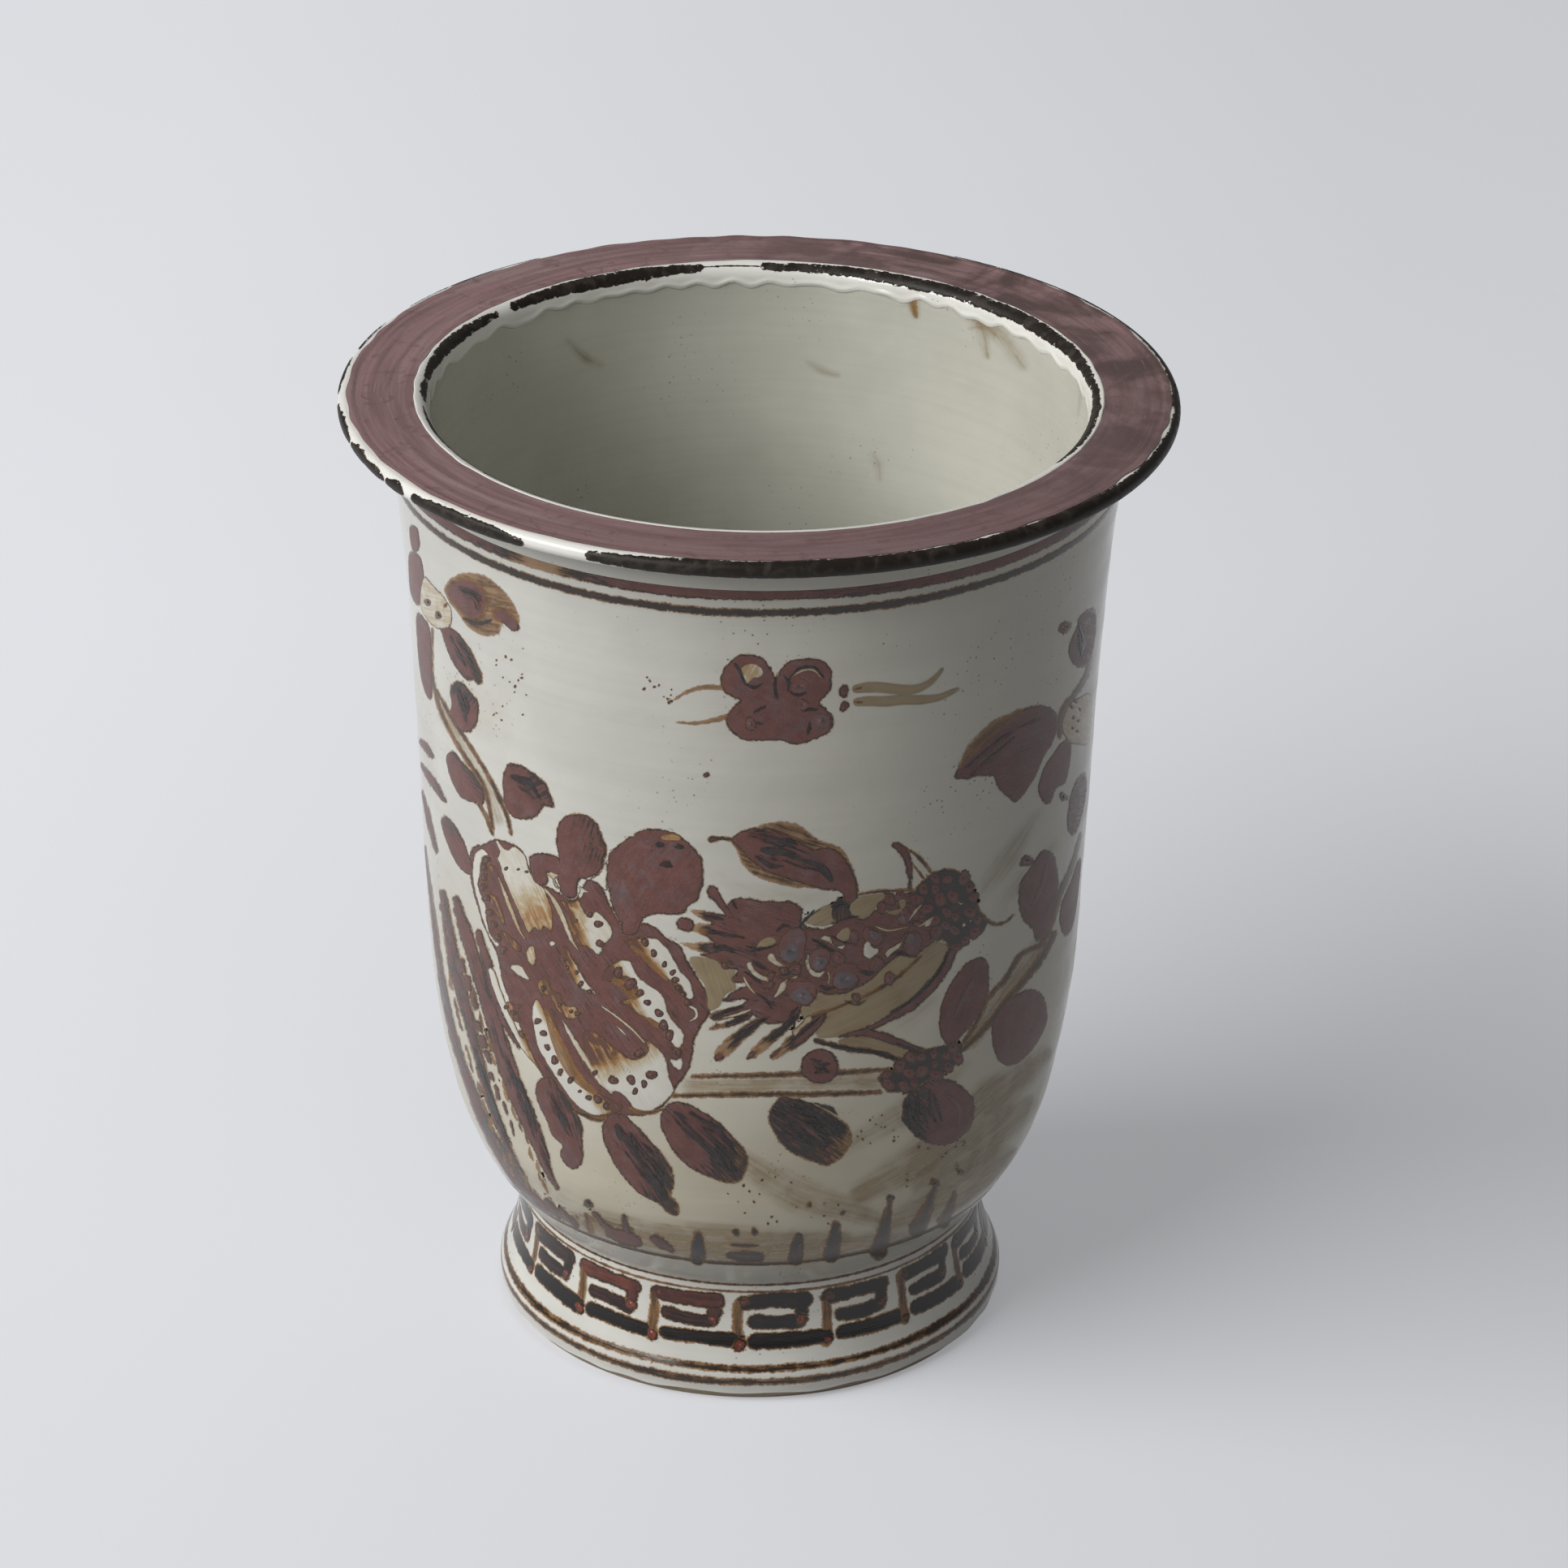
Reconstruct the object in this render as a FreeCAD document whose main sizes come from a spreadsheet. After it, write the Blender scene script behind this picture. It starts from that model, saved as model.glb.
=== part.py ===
import FreeCAD, Part

import math
import os
import re

import Sketcher

# A ceramic flowerpot in the row frame: +Z up, axis of the throwing wheel on Z, table at Z = 0, millimetres.
# The pot is thrown in sections that are luted together with slip while the clay is leather hard: a flared foot
# ring, a floor disc with a drain hole, a rounded belly, a tall barrel and a wide flat rim. Glass coats lie over
# the clay: a thin one outside, one inside and one on the foot, an iron-rich one on the flat of the rim, and two
# thick white ones rolled over the lip and the mouth. Everything is round about Z.

doc = FreeCAD.newDocument("flowerpot")

# Driving dimensions

SIZES = {
    "pot_height": (364.0, "table to the top of the lip glaze"),
    "mouth_radius": (118.2, "clay opening at the rim"),
    "neck_wall": (12.5, "clay wall right under the rim"),
    "rim_overhang": (18.3, "how far the clay lip stands out past the neck"),
    "lip_thickness": (4.5, "clay edge of the rim, a full round"),
    "under_drop": (2.0, "fall of the rim's underside from the lip to the cove"),
    "cove_width": (6.2, "hollow under the rim, measured outwards"),
    "cove_drop": (6.8, "hollow under the rim, measured down"),
    "mouth_round": (4.7, "rounded inner edge of the rim"),
    "lip_border": (4.4, "white border between the iron glaze and the lip"),
    "tongue_width": (6.0, "raised ring on the barrel that keys into the rim"),
    "tongue_height": (4.0, "height of that ring"),
    "flare": (7.3, "how far the barrel opens towards the neck"),
    "flare_length": (95.0, "height over which it opens"),
    "taper": (3.6, "narrowing of the straight part of the wall"),
    "belly_tuck": (8.0, "inward sweep of the upper belly"),
    "belly_curve": (64.0, "height of the upper belly"),
    "base_tuck": (24.4, "inward sweep of the lower belly"),
    "base_curve": (49.0, "height of the lower belly"),
    "wall": (9.0, "clay wall of the barrel and the belly"),
    "seam_bevel": (4.0, "slope of the joint between belly and barrel"),
    "slip": (0.8, "layer of slip in every joint"),
    "foot_height": (46.2, "table to the top of the foot ring"),
    "collar_height": (6.2, "upright collar at the top of the foot"),
    "groove": (1.2, "step in from the belly's edge to the collar"),
    "foot_flare": (7.4, "how far the foot opens below the collar"),
    "edge_height": (8.0, "upright edge of the foot above the bare ring"),
    "bare_height": (3.0, "unglazed bevel that meets the table"),
    "foot_bevel": (2.4, "how far that bevel runs in"),
    "foot_wall": (13.0, "clay of the foot at the table"),
    "ledge_width": (12.0, "belly's bottom ring that carries the floor"),
    "ledge": (5.6, "thickness of that ring"),
    "floor_lap": (8.0, "how far the floor reaches over the ledge"),
    "floor_thickness": (10.0, "clay floor"),
    "drain_radius": (12.0, "drain hole in the floor"),
    "drain_bare": (3.0, "ring round the drain hole that is wiped clear of glaze"),
    "glaze": (0.6, "clear coat on the wall, inside and on the foot"),
    "rim_glaze": (0.6, "iron coat on the flat of the rim"),
    "lip_glaze": (1.0, "white coat rolled over the lip and the mouth"),
}

sheet = doc.addObject("Spreadsheet::Sheet", "Sizes")
for row, (alias, (value, note)) in enumerate(SIZES.items(), start=1):
    sheet.set(f"A{row}", alias)
    sheet.set(f"B{row}", str(value))
    sheet.setAlias(f"B{row}", alias)
    sheet.set(f"C{row}", note)
doc.recompute()

# Radii and heights that several pieces share, as sums of the driving dimensions

NECK = "(mouth_radius + neck_wall)"
LIP = f"({NECK} + rim_overhang)"
LIP_ROUND = f"({LIP} - lip_thickness / 2)"
IRON_IN = "(mouth_radius + mouth_round)"
IRON_OUT = f"({LIP} - lip_border)"
TONGUE = "(mouth_radius + tongue_width)"
BARREL = f"({NECK} - flare)"
SHOULDER = f"({BARREL} - taper)"
SEAM = f"({BARREL} - taper / 2)"
BEND = f"({SHOULDER} - belly_tuck)"
WAIST = f"({BEND} - base_tuck)"
LEDGE = f"({WAIST} - ledge_width)"
SEAT = f"({LEDGE} + floor_lap)"
FLOOR = f"({SEAT} - slip)"
COLLAR = f"({WAIST} - groove)"
FOOT = f"({COLLAR} + foot_flare)"

RIM_TOP = "(pot_height - lip_glaze)"
LIP_UNDER = f"({RIM_TOP} - lip_thickness)"
COVE_TOP = f"({LIP_UNDER} - under_drop)"
RIM_FOOT = f"({COVE_TOP} - cove_drop)"
SOCKET_TOP = f"({RIM_FOOT} + tongue_height)"
BARREL_TOP = f"({RIM_FOOT} - slip)"
TONGUE_TOP = f"({SOCKET_TOP} - slip)"
FLARE_FOOT = f"({BARREL_TOP} - flare_length)"
BELLY_FOOT = "(foot_height + slip)"
BEND_LEVEL = f"({BELLY_FOOT} + base_curve)"
SHOULDER_LEVEL = f"({BEND_LEVEL} + belly_curve)"
SEAM_LEVEL = f"(({FLARE_FOOT} + {SHOULDER_LEVEL}) / 2)"
LEDGE_TOP = f"({BELLY_FOOT} + ledge)"
FLOOR_FOOT = f"({LEDGE_TOP} + slip)"
FLOOR_TOP = f"({FLOOR_FOOT} + floor_thickness)"
COLLAR_FOOT = "(foot_height - collar_height)"
EDGE_TOP = "(bare_height + edge_height)"
TABLE = "0"

ARC = "arc"


def in_sheet(formula):
    """The formula with every name in it pointing at its cell in the sheet."""
    return re.sub(r"[a-z_]+", r"Sizes.\g<0>", formula)


def value_of(formula):
    """What the formula comes to with the sizes as they are."""
    return float(sheet.evalExpression(in_sheet(formula)))


def arc_leaving(start, direction, end):
    """The circle arc from start to end that leaves start along direction, and the direction it arrives in."""
    chord = end - start
    normal = FreeCAD.Vector(-direction.y, direction.x, 0)
    reach = chord.dot(chord) / (2 * chord.dot(normal))
    centre = start + normal * reach
    spokes = [start - centre, end - centre]
    if reach < 0:
        spokes.reverse()
    begin, finish = [math.atan2(spoke.y, spoke.x) for spoke in spokes]
    if finish < begin:
        finish += math.tau
    arrival = chord * (2 * chord.dot(direction) / chord.dot(chord)) - direction
    circle = Part.Circle(centre, FreeCAD.Vector(0, 0, 1), abs(reach))
    return Part.ArcOfCircle(circle, begin, finish), reach > 0, arrival.normalize()


def revolved(label, corners, edges):
    """One clay or glass ring: the closed outline, drawn through named corners, turned once round Z.

    corners maps a name to its radius and height. An edge names its two corners, and an edge marked ARC is
    the arc that runs on smoothly, at its first corner, from the edge listed before it there.
    """
    body = doc.addObject("PartDesign::Body", label)
    sketch = body.newObject("Sketcher::SketchObject", f"{label}_outline")
    plane = next(o for o in body.Origin.OriginFeatures if o.Role == "XZ_Plane")
    sketch.AttachmentSupport = [(plane, "")]
    sketch.MapMode = "FlatFace"
    places = {}
    for name, (radius, height) in corners.items():
        places[name] = FreeCAD.Vector(value_of(radius), value_of(height), 0)
    ends = {name: [] for name in corners}
    heading = {}
    for first, last, *kind in edges:
        start, end = places[first], places[last]
        forward = True
        if kind == [ARC]:
            curve, forward, heading[last] = arc_leaving(start, heading[first], end)
        else:
            curve = Part.LineSegment(start, end)
            heading[last] = (end - start).normalize()
            heading[first] = heading[last] * -1
        index = sketch.addGeometry(curve)
        ends[first].append((index, 1 if forward else 2, kind == [ARC]))
        ends[last].append((index, 2 if forward else 1, False))
    for name, (radius, height) in corners.items():
        (one, one_end, one_leaves), (other, other_end, other_leaves) = ends[name]
        smooth = one_leaves or other_leaves
        join = "Tangent" if smooth else "Coincident"
        sketch.addConstraint(Sketcher.Constraint(join, one, one_end, other, other_end))
        for way, formula in (("DistanceX", radius), ("DistanceY", height)):
            if formula == TABLE:
                sketch.addConstraint(Sketcher.Constraint("PointOnObject", one, one_end, -1))
                continue
            drawn = Sketcher.Constraint(way, -1, 1, one, one_end, value_of(formula))
            number = sketch.addConstraint(drawn)
            sketch.setExpression(f"Constraints[{number}]", in_sheet(formula))
    turn = body.newObject("PartDesign::Revolution", f"{label}_turned")
    turn.Profile = sketch
    turn.ReferenceAxis = (sketch, ["V_Axis"])
    turn.Angle = 360
    sketch.Visibility = False
    return body


def closed(*names):
    """Straight edges from corner to corner and back to the first."""
    return list(zip(names, names[1:] + names[:1]))


# Clay

def make_foot_ring():
    """Flared foot: an upright collar under the belly, a hollow flare and a bare bevel on the table."""
    corners = {
        "top_in": (LEDGE, "foot_height"),
        "top_out": (COLLAR, "foot_height"),
        "collar": (COLLAR, COLLAR_FOOT),
        "edge_top": (FOOT, EDGE_TOP),
        "edge_foot": (FOOT, "bare_height"),
        "rest_out": (f"{FOOT} - foot_bevel", TABLE),
        "rest_in": (f"{FOOT} - foot_wall", TABLE),
    }
    edges = [
        ("top_in", "top_out"),
        ("top_out", "collar"),
        ("collar", "edge_top", ARC),
        ("edge_top", "edge_foot"),
        ("edge_foot", "rest_out"),
        ("rest_out", "rest_in"),
        ("rest_in", "top_in"),
    ]
    return revolved("foot_ring", corners, edges)


def make_floor_disc():
    """Flat floor that lies on the belly's ledge, with the drain hole through its middle."""
    body = doc.addObject("PartDesign::Body", "floor_disc")
    body.setExpression("Placement.Base.z", in_sheet(FLOOR_FOOT))
    plane = next(o for o in body.Origin.OriginFeatures if o.Role == "XY_Plane")

    def round_sketch(name, radius):
        sketch = body.newObject("Sketcher::SketchObject", name)
        sketch.AttachmentSupport = [(plane, "")]
        sketch.MapMode = "FlatFace"
        circle = Part.Circle(FreeCAD.Vector(0, 0, 0), FreeCAD.Vector(0, 0, 1), value_of(radius))
        index = sketch.addGeometry(circle)
        sketch.addConstraint(Sketcher.Constraint("Coincident", index, 3, -1, 1))
        number = sketch.addConstraint(Sketcher.Constraint("Radius", index, value_of(radius)))
        sketch.setExpression(f"Constraints[{number}]", in_sheet(radius))
        sketch.Visibility = False
        return sketch

    slab = body.newObject("PartDesign::Pad", "floor_slab")
    slab.Profile = round_sketch("floor_outline", FLOOR)
    slab.setExpression("Length", in_sheet("floor_thickness"))
    doc.recompute()
    whole = body.Shape.Volume
    drain = body.newObject("PartDesign::Pocket", "drain_hole")
    drain.Profile = round_sketch("drain_outline", "drain_radius")
    drain.Type = "ThroughAll"
    drain.Reversed = True
    doc.recompute()
    if body.Shape.Volume >= whole:
        raise RuntimeError("the drain hole cuts nothing")
    return body


def make_belly_section():
    """Rounded lower wall: two sweeps inwards to the waist, and a ledge inside for the floor."""
    corners = {
        "seam_out": (SEAM, f"{SEAM_LEVEL} - slip"),
        "shoulder_out": (SHOULDER, SHOULDER_LEVEL),
        "bend_out": (BEND, BEND_LEVEL),
        "waist": (WAIST, BELLY_FOOT),
        "ledge_low": (LEDGE, BELLY_FOOT),
        "ledge_top": (LEDGE, LEDGE_TOP),
        "seat_low": (SEAT, LEDGE_TOP),
        "seat_top": (SEAT, FLOOR_TOP),
        "bend_in": (f"{BEND} - wall", BEND_LEVEL),
        "shoulder_in": (f"{SHOULDER} - wall", SHOULDER_LEVEL),
        "seam_in": (f"{SEAM} - wall", f"{SEAM_LEVEL} + seam_bevel - slip"),
    }
    edges = [
        ("seam_out", "shoulder_out"),
        ("shoulder_out", "bend_out", ARC),
        ("bend_out", "waist", ARC),
        ("waist", "ledge_low"),
        ("ledge_low", "ledge_top"),
        ("ledge_top", "seat_low"),
        ("seat_low", "seat_top"),
        ("seam_in", "shoulder_in"),
        ("shoulder_in", "bend_in", ARC),
        ("bend_in", "seat_top", ARC),
        ("seam_in", "seam_out"),
    ]
    return revolved("belly_section", corners, edges)


def make_barrel_section():
    """Tall upper wall that opens gently to the neck, with a raised ring on top that keys into the rim."""
    corners = {
        "seam_out": (SEAM, SEAM_LEVEL),
        "flare_foot": (BARREL, FLARE_FOOT),
        "neck": (NECK, BARREL_TOP),
        "tongue_foot": (TONGUE, BARREL_TOP),
        "tongue_out": (TONGUE, TONGUE_TOP),
        "tongue_in": ("mouth_radius", TONGUE_TOP),
        "seam_in": (f"{SEAM} - wall", f"{SEAM_LEVEL} + seam_bevel"),
    }
    edges = [
        ("seam_out", "flare_foot"),
        ("flare_foot", "neck", ARC),
        ("neck", "tongue_foot"),
        ("tongue_foot", "tongue_out"),
        ("tongue_out", "tongue_in"),
        ("tongue_in", "seam_in"),
        ("seam_in", "seam_out"),
    ]
    return revolved("barrel_section", corners, edges)


def make_rim_flange():
    """Wide flat rim: rounded mouth and lip, a cove underneath, and a socket over the barrel's raised ring."""
    corners = {
        "socket_in": ("mouth_radius", SOCKET_TOP),
        "mouth": ("mouth_radius", f"{RIM_TOP} - mouth_round"),
        "flat_in": (IRON_IN, RIM_TOP),
        "flat_out": (LIP_ROUND, RIM_TOP),
        "lip_under": (LIP_ROUND, LIP_UNDER),
        "cove_top": (f"{NECK} + cove_width", COVE_TOP),
        "neck": (NECK, RIM_FOOT),
        "socket_low": (f"{TONGUE} + slip", RIM_FOOT),
        "socket_top": (f"{TONGUE} + slip", SOCKET_TOP),
    }
    edges = [
        ("socket_in", "mouth"),
        ("mouth", "flat_in", ARC),
        ("flat_in", "flat_out"),
        ("flat_out", "lip_under", ARC),
        ("lip_under", "cove_top"),
        ("cove_top", "neck", ARC),
        ("neck", "socket_low"),
        ("socket_low", "socket_top"),
        ("socket_top", "socket_in"),
    ]
    return revolved("rim_flange", corners, edges)


# Slip in the joints

def make_rim_luting_slip():
    """Slip between the barrel's raised ring and the socket in the rim."""
    corners = {
        "tongue_in": ("mouth_radius", TONGUE_TOP),
        "socket_in": ("mouth_radius", SOCKET_TOP),
        "socket_top": (f"{TONGUE} + slip", SOCKET_TOP),
        "socket_low": (f"{TONGUE} + slip", RIM_FOOT),
        "neck_top": (NECK, RIM_FOOT),
        "neck_low": (NECK, BARREL_TOP),
        "tongue_foot": (TONGUE, BARREL_TOP),
        "tongue_out": (TONGUE, TONGUE_TOP),
    }
    return revolved("rim_luting_slip", corners, closed(*corners))


def make_wall_luting_slip():
    """Slip in the bevelled joint between the belly and the barrel."""
    corners = {
        "out_top": (SEAM, SEAM_LEVEL),
        "in_top": (f"{SEAM} - wall", f"{SEAM_LEVEL} + seam_bevel"),
        "in_low": (f"{SEAM} - wall", f"{SEAM_LEVEL} + seam_bevel - slip"),
        "out_low": (SEAM, f"{SEAM_LEVEL} - slip"),
    }
    return revolved("wall_luting_slip", corners, closed(*corners))


def make_floor_luting_slip():
    """Slip under the floor's edge and round it."""
    corners = {
        "ledge_top": (LEDGE, LEDGE_TOP),
        "seat_low": (SEAT, LEDGE_TOP),
        "seat_top": (SEAT, FLOOR_TOP),
        "floor_top": (FLOOR, FLOOR_TOP),
        "floor_low": (FLOOR, FLOOR_FOOT),
        "ledge_over": (LEDGE, FLOOR_FOOT),
    }
    return revolved("floor_luting_slip", corners, closed(*corners))


def make_foot_luting_slip():
    """Slip between the foot ring and the belly's bottom ring."""
    corners = {
        "in_low": (LEDGE, "foot_height"),
        "out_low": (COLLAR, "foot_height"),
        "out_top": (COLLAR, BELLY_FOOT),
        "in_top": (LEDGE, BELLY_FOOT),
    }
    return revolved("foot_luting_slip", corners, closed(*corners))


# Glass coats

def make_outer_glaze():
    """Clear coat from under the lip, down the cove, the barrel and the belly, to the belly's bottom edge."""
    corners = {
        "lip_clay": (LIP_ROUND, LIP_UNDER),
        "cove_clay": (f"{NECK} + cove_width", COVE_TOP),
        "neck_clay": (NECK, RIM_FOOT),
        "barrel_clay": (NECK, BARREL_TOP),
        "flare_clay": (BARREL, FLARE_FOOT),
        "seam_clay": (SEAM, SEAM_LEVEL),
        "belly_clay": (SEAM, f"{SEAM_LEVEL} - slip"),
        "shoulder_clay": (SHOULDER, SHOULDER_LEVEL),
        "bend_clay": (BEND, BEND_LEVEL),
        "waist_clay": (WAIST, BELLY_FOOT),
        "waist_face": (f"{WAIST} + glaze", BELLY_FOOT),
        "bend_face": (f"{BEND} + glaze", BEND_LEVEL),
        "shoulder_face": (f"{SHOULDER} + glaze", SHOULDER_LEVEL),
        "flare_face": (f"{BARREL} + glaze", FLARE_FOOT),
        "barrel_face": (f"{NECK} + glaze", BARREL_TOP),
        "neck_face": (f"{NECK} + glaze", RIM_FOOT),
        "cove_face": (f"{NECK} + cove_width", f"{COVE_TOP} - glaze"),
        "lip_face": (LIP_ROUND, f"{LIP_UNDER} - glaze"),
    }
    edges = [
        ("lip_clay", "cove_clay"),
        ("cove_clay", "neck_clay", ARC),
        ("neck_clay", "barrel_clay"),
        ("seam_clay", "flare_clay"),
        ("flare_clay", "barrel_clay", ARC),
        ("seam_clay", "belly_clay"),
        ("belly_clay", "shoulder_clay"),
        ("shoulder_clay", "bend_clay", ARC),
        ("bend_clay", "waist_clay", ARC),
        ("waist_clay", "waist_face"),
        ("lip_face", "cove_face"),
        ("cove_face", "neck_face", ARC),
        ("neck_face", "barrel_face"),
        ("flare_face", "shoulder_face"),
        ("flare_face", "barrel_face", ARC),
        ("shoulder_face", "bend_face", ARC),
        ("bend_face", "waist_face", ARC),
        ("lip_face", "lip_clay"),
    ]
    return revolved("outer_glaze", corners, edges)


def make_inner_glaze():
    """Clear coat down the inside of the barrel and the belly and over the floor, short of the drain hole."""
    corners = {
        "tongue_clay": ("mouth_radius", TONGUE_TOP),
        "seam_clay": (f"{SEAM} - wall", f"{SEAM_LEVEL} + seam_bevel"),
        "belly_clay": (f"{SEAM} - wall", f"{SEAM_LEVEL} + seam_bevel - slip"),
        "shoulder_clay": (f"{SHOULDER} - wall", SHOULDER_LEVEL),
        "bend_clay": (f"{BEND} - wall", BEND_LEVEL),
        "seat_clay": (SEAT, FLOOR_TOP),
        "drain_clay": ("drain_radius + drain_bare", FLOOR_TOP),
        "drain_face": ("drain_radius + drain_bare", f"{FLOOR_TOP} + glaze"),
        "seat_face": (f"{SEAT} - glaze", f"{FLOOR_TOP} + glaze"),
        "bend_face": (f"{BEND} - wall - glaze", BEND_LEVEL),
        "shoulder_face": (f"{SHOULDER} - wall - glaze", SHOULDER_LEVEL),
        "seam_face": (f"{SEAM} - wall - glaze", f"{SEAM_LEVEL} + seam_bevel"),
        "tongue_face": ("mouth_radius - glaze", TONGUE_TOP),
    }
    edges = [
        ("tongue_clay", "seam_clay"),
        ("seam_clay", "belly_clay"),
        ("belly_clay", "shoulder_clay"),
        ("shoulder_clay", "bend_clay", ARC),
        ("bend_clay", "seat_clay", ARC),
        ("seat_clay", "drain_clay"),
        ("drain_clay", "drain_face"),
        ("drain_face", "seat_face"),
        ("tongue_face", "seam_face"),
        ("seam_face", "shoulder_face"),
        ("shoulder_face", "bend_face", ARC),
        ("bend_face", "seat_face", ARC),
        ("tongue_face", "tongue_clay"),
    ]
    return revolved("inner_glaze", corners, edges)


def make_foot_glaze():
    """Clear coat on the collar, the flare and the upright edge of the foot."""
    corners = {
        "collar_clay": (COLLAR, "foot_height"),
        "flare_clay": (COLLAR, COLLAR_FOOT),
        "edge_clay": (FOOT, EDGE_TOP),
        "bare_clay": (FOOT, "bare_height"),
        "bare_face": (f"{FOOT} + glaze", "bare_height"),
        "edge_face": (f"{FOOT} + glaze", EDGE_TOP),
        "flare_face": (f"{COLLAR} + glaze", COLLAR_FOOT),
        "collar_face": (f"{COLLAR} + glaze", "foot_height"),
    }
    edges = [
        ("collar_clay", "flare_clay"),
        ("flare_clay", "edge_clay", ARC),
        ("edge_clay", "bare_clay"),
        ("bare_clay", "bare_face"),
        ("bare_face", "edge_face"),
        ("collar_face", "flare_face"),
        ("flare_face", "edge_face", ARC),
        ("collar_face", "collar_clay"),
    ]
    return revolved("foot_glaze", corners, edges)


def make_rim_iron_glaze():
    """Iron-rich coat on the flat of the rim."""
    corners = {
        "in_low": (IRON_IN, RIM_TOP),
        "out_low": (IRON_OUT, RIM_TOP),
        "out_top": (IRON_OUT, f"{RIM_TOP} + rim_glaze"),
        "in_top": (IRON_IN, f"{RIM_TOP} + rim_glaze"),
    }
    return revolved("rim_iron_glaze", corners, closed(*corners))


def make_lip_glaze():
    """Thick white coat rolled over the outer lip of the rim."""
    corners = {
        "flat_clay": (IRON_OUT, RIM_TOP),
        "round_clay": (LIP_ROUND, RIM_TOP),
        "under_clay": (LIP_ROUND, LIP_UNDER),
        "under_face": (LIP_ROUND, f"{LIP_UNDER} - lip_glaze"),
        "round_face": (LIP_ROUND, f"{RIM_TOP} + lip_glaze"),
        "flat_face": (IRON_OUT, f"{RIM_TOP} + lip_glaze"),
    }
    edges = [
        ("flat_clay", "round_clay"),
        ("round_clay", "under_clay", ARC),
        ("under_clay", "under_face"),
        ("flat_face", "round_face"),
        ("round_face", "under_face", ARC),
        ("flat_face", "flat_clay"),
    ]
    return revolved("lip_white_glaze", corners, edges)


def make_mouth_glaze():
    """Thick white coat rolled over the mouth of the rim and down inside it."""
    corners = {
        "low_clay": ("mouth_radius", TONGUE_TOP),
        "round_clay": ("mouth_radius", f"{RIM_TOP} - mouth_round"),
        "flat_clay": (IRON_IN, RIM_TOP),
        "flat_face": (IRON_IN, f"{RIM_TOP} + lip_glaze"),
        "round_face": ("mouth_radius - lip_glaze", f"{RIM_TOP} - mouth_round"),
        "low_face": ("mouth_radius - lip_glaze", TONGUE_TOP),
    }
    edges = [
        ("low_clay", "round_clay"),
        ("round_clay", "flat_clay", ARC),
        ("flat_clay", "flat_face"),
        ("low_face", "round_face"),
        ("round_face", "flat_face", ARC),
        ("low_face", "low_clay"),
    ]
    return revolved("mouth_white_glaze", corners, edges)


pieces = [
    make_foot_ring(),
    make_foot_luting_slip(),
    make_floor_disc(),
    make_floor_luting_slip(),
    make_belly_section(),
    make_wall_luting_slip(),
    make_barrel_section(),
    make_rim_luting_slip(),
    make_rim_flange(),
    make_outer_glaze(),
    make_inner_glaze(),
    make_foot_glaze(),
    make_rim_iron_glaze(),
    make_lip_glaze(),
    make_mouth_glaze(),
]
doc.recompute()

failed = [o.Label for o in doc.Objects if {"Invalid", "Error"} & set(o.State)]
failed += [p.Label for p in pieces if p.Shape.isNull() or not p.Shape.isValid() or p.Shape.Volume <= 0]
if failed:
    raise RuntimeError(f"these did not build: {sorted(set(failed))}")

os.makedirs("parts", exist_ok=True)
for piece in pieces:
    piece.Shape.exportStep(f"parts/{piece.Label}.step")
    box = piece.Shape.optimalBoundingBox()
    print(f"{piece.Label}: {piece.Shape.Volume:.0f} mm3, Z {box.ZMin:.2f} to {box.ZMax:.2f}, across {box.XLength:.2f}")
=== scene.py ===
"""A thrown and painted stoneware flowerpot: glaze coats and brush painting laid over its solids.

Every shape is worked out in millimetres with numpy and put into its mesh in metres.
"""

import math

import bpy
import numpy as np
from bpy.props import FloatProperty, FloatVectorProperty, IntProperty, PointerProperty
from mathutils import Matrix, Vector


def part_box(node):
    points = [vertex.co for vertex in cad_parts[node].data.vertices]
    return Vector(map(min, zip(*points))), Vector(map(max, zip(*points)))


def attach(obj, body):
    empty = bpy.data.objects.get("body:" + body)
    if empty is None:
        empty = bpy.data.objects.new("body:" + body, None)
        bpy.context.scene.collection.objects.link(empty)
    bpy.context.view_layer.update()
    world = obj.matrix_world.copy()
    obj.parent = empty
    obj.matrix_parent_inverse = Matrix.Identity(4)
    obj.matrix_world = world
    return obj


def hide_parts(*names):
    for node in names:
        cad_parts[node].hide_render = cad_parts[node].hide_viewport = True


bl_info = {
    "name": "Painted stoneware flowerpot",
    "version": (1, 0, 0),
    "blender": (4, 5, 0),
    "location": "3D View > Sidebar > Flowerpot",
    "description": "Glazes and paints the flowerpot's solids and sets a plain stage",
    "category": "Add Mesh",
}

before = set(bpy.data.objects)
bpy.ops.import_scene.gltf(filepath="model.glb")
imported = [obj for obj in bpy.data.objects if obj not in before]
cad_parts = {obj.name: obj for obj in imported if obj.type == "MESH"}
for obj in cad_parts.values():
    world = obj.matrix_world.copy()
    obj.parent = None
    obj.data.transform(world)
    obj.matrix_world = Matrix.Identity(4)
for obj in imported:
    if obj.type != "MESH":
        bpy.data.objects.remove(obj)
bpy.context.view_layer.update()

MM, METRE = 1000.0, 0.001
TURN = 2 * math.pi

# The view: a pinhole whose sheet is 1932 pixels wide, 26.6 degrees above the floor.
SHEET = 1932
MIDDLE = SHEET / 2
FOCUS = 8000.0
PITCH = math.radians(26.579)
ROLL = math.radians(0.736)
BACK = np.array([0.0, -math.cos(PITCH), math.sin(PITCH)])
LEVEL = np.array([1.0, 0.0, 0.0])
TILTED = np.cross(LEVEL, -BACK)
RIGHT = math.cos(ROLL) * LEVEL + math.sin(ROLL) * TILTED
UP = math.cos(ROLL) * TILTED - math.sin(ROLL) * LEVEL
REACH = 2379.4
EYE = np.array([10.63, 0.0, 206.95]) + REACH * BACK
PIXEL = 0.2976

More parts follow.
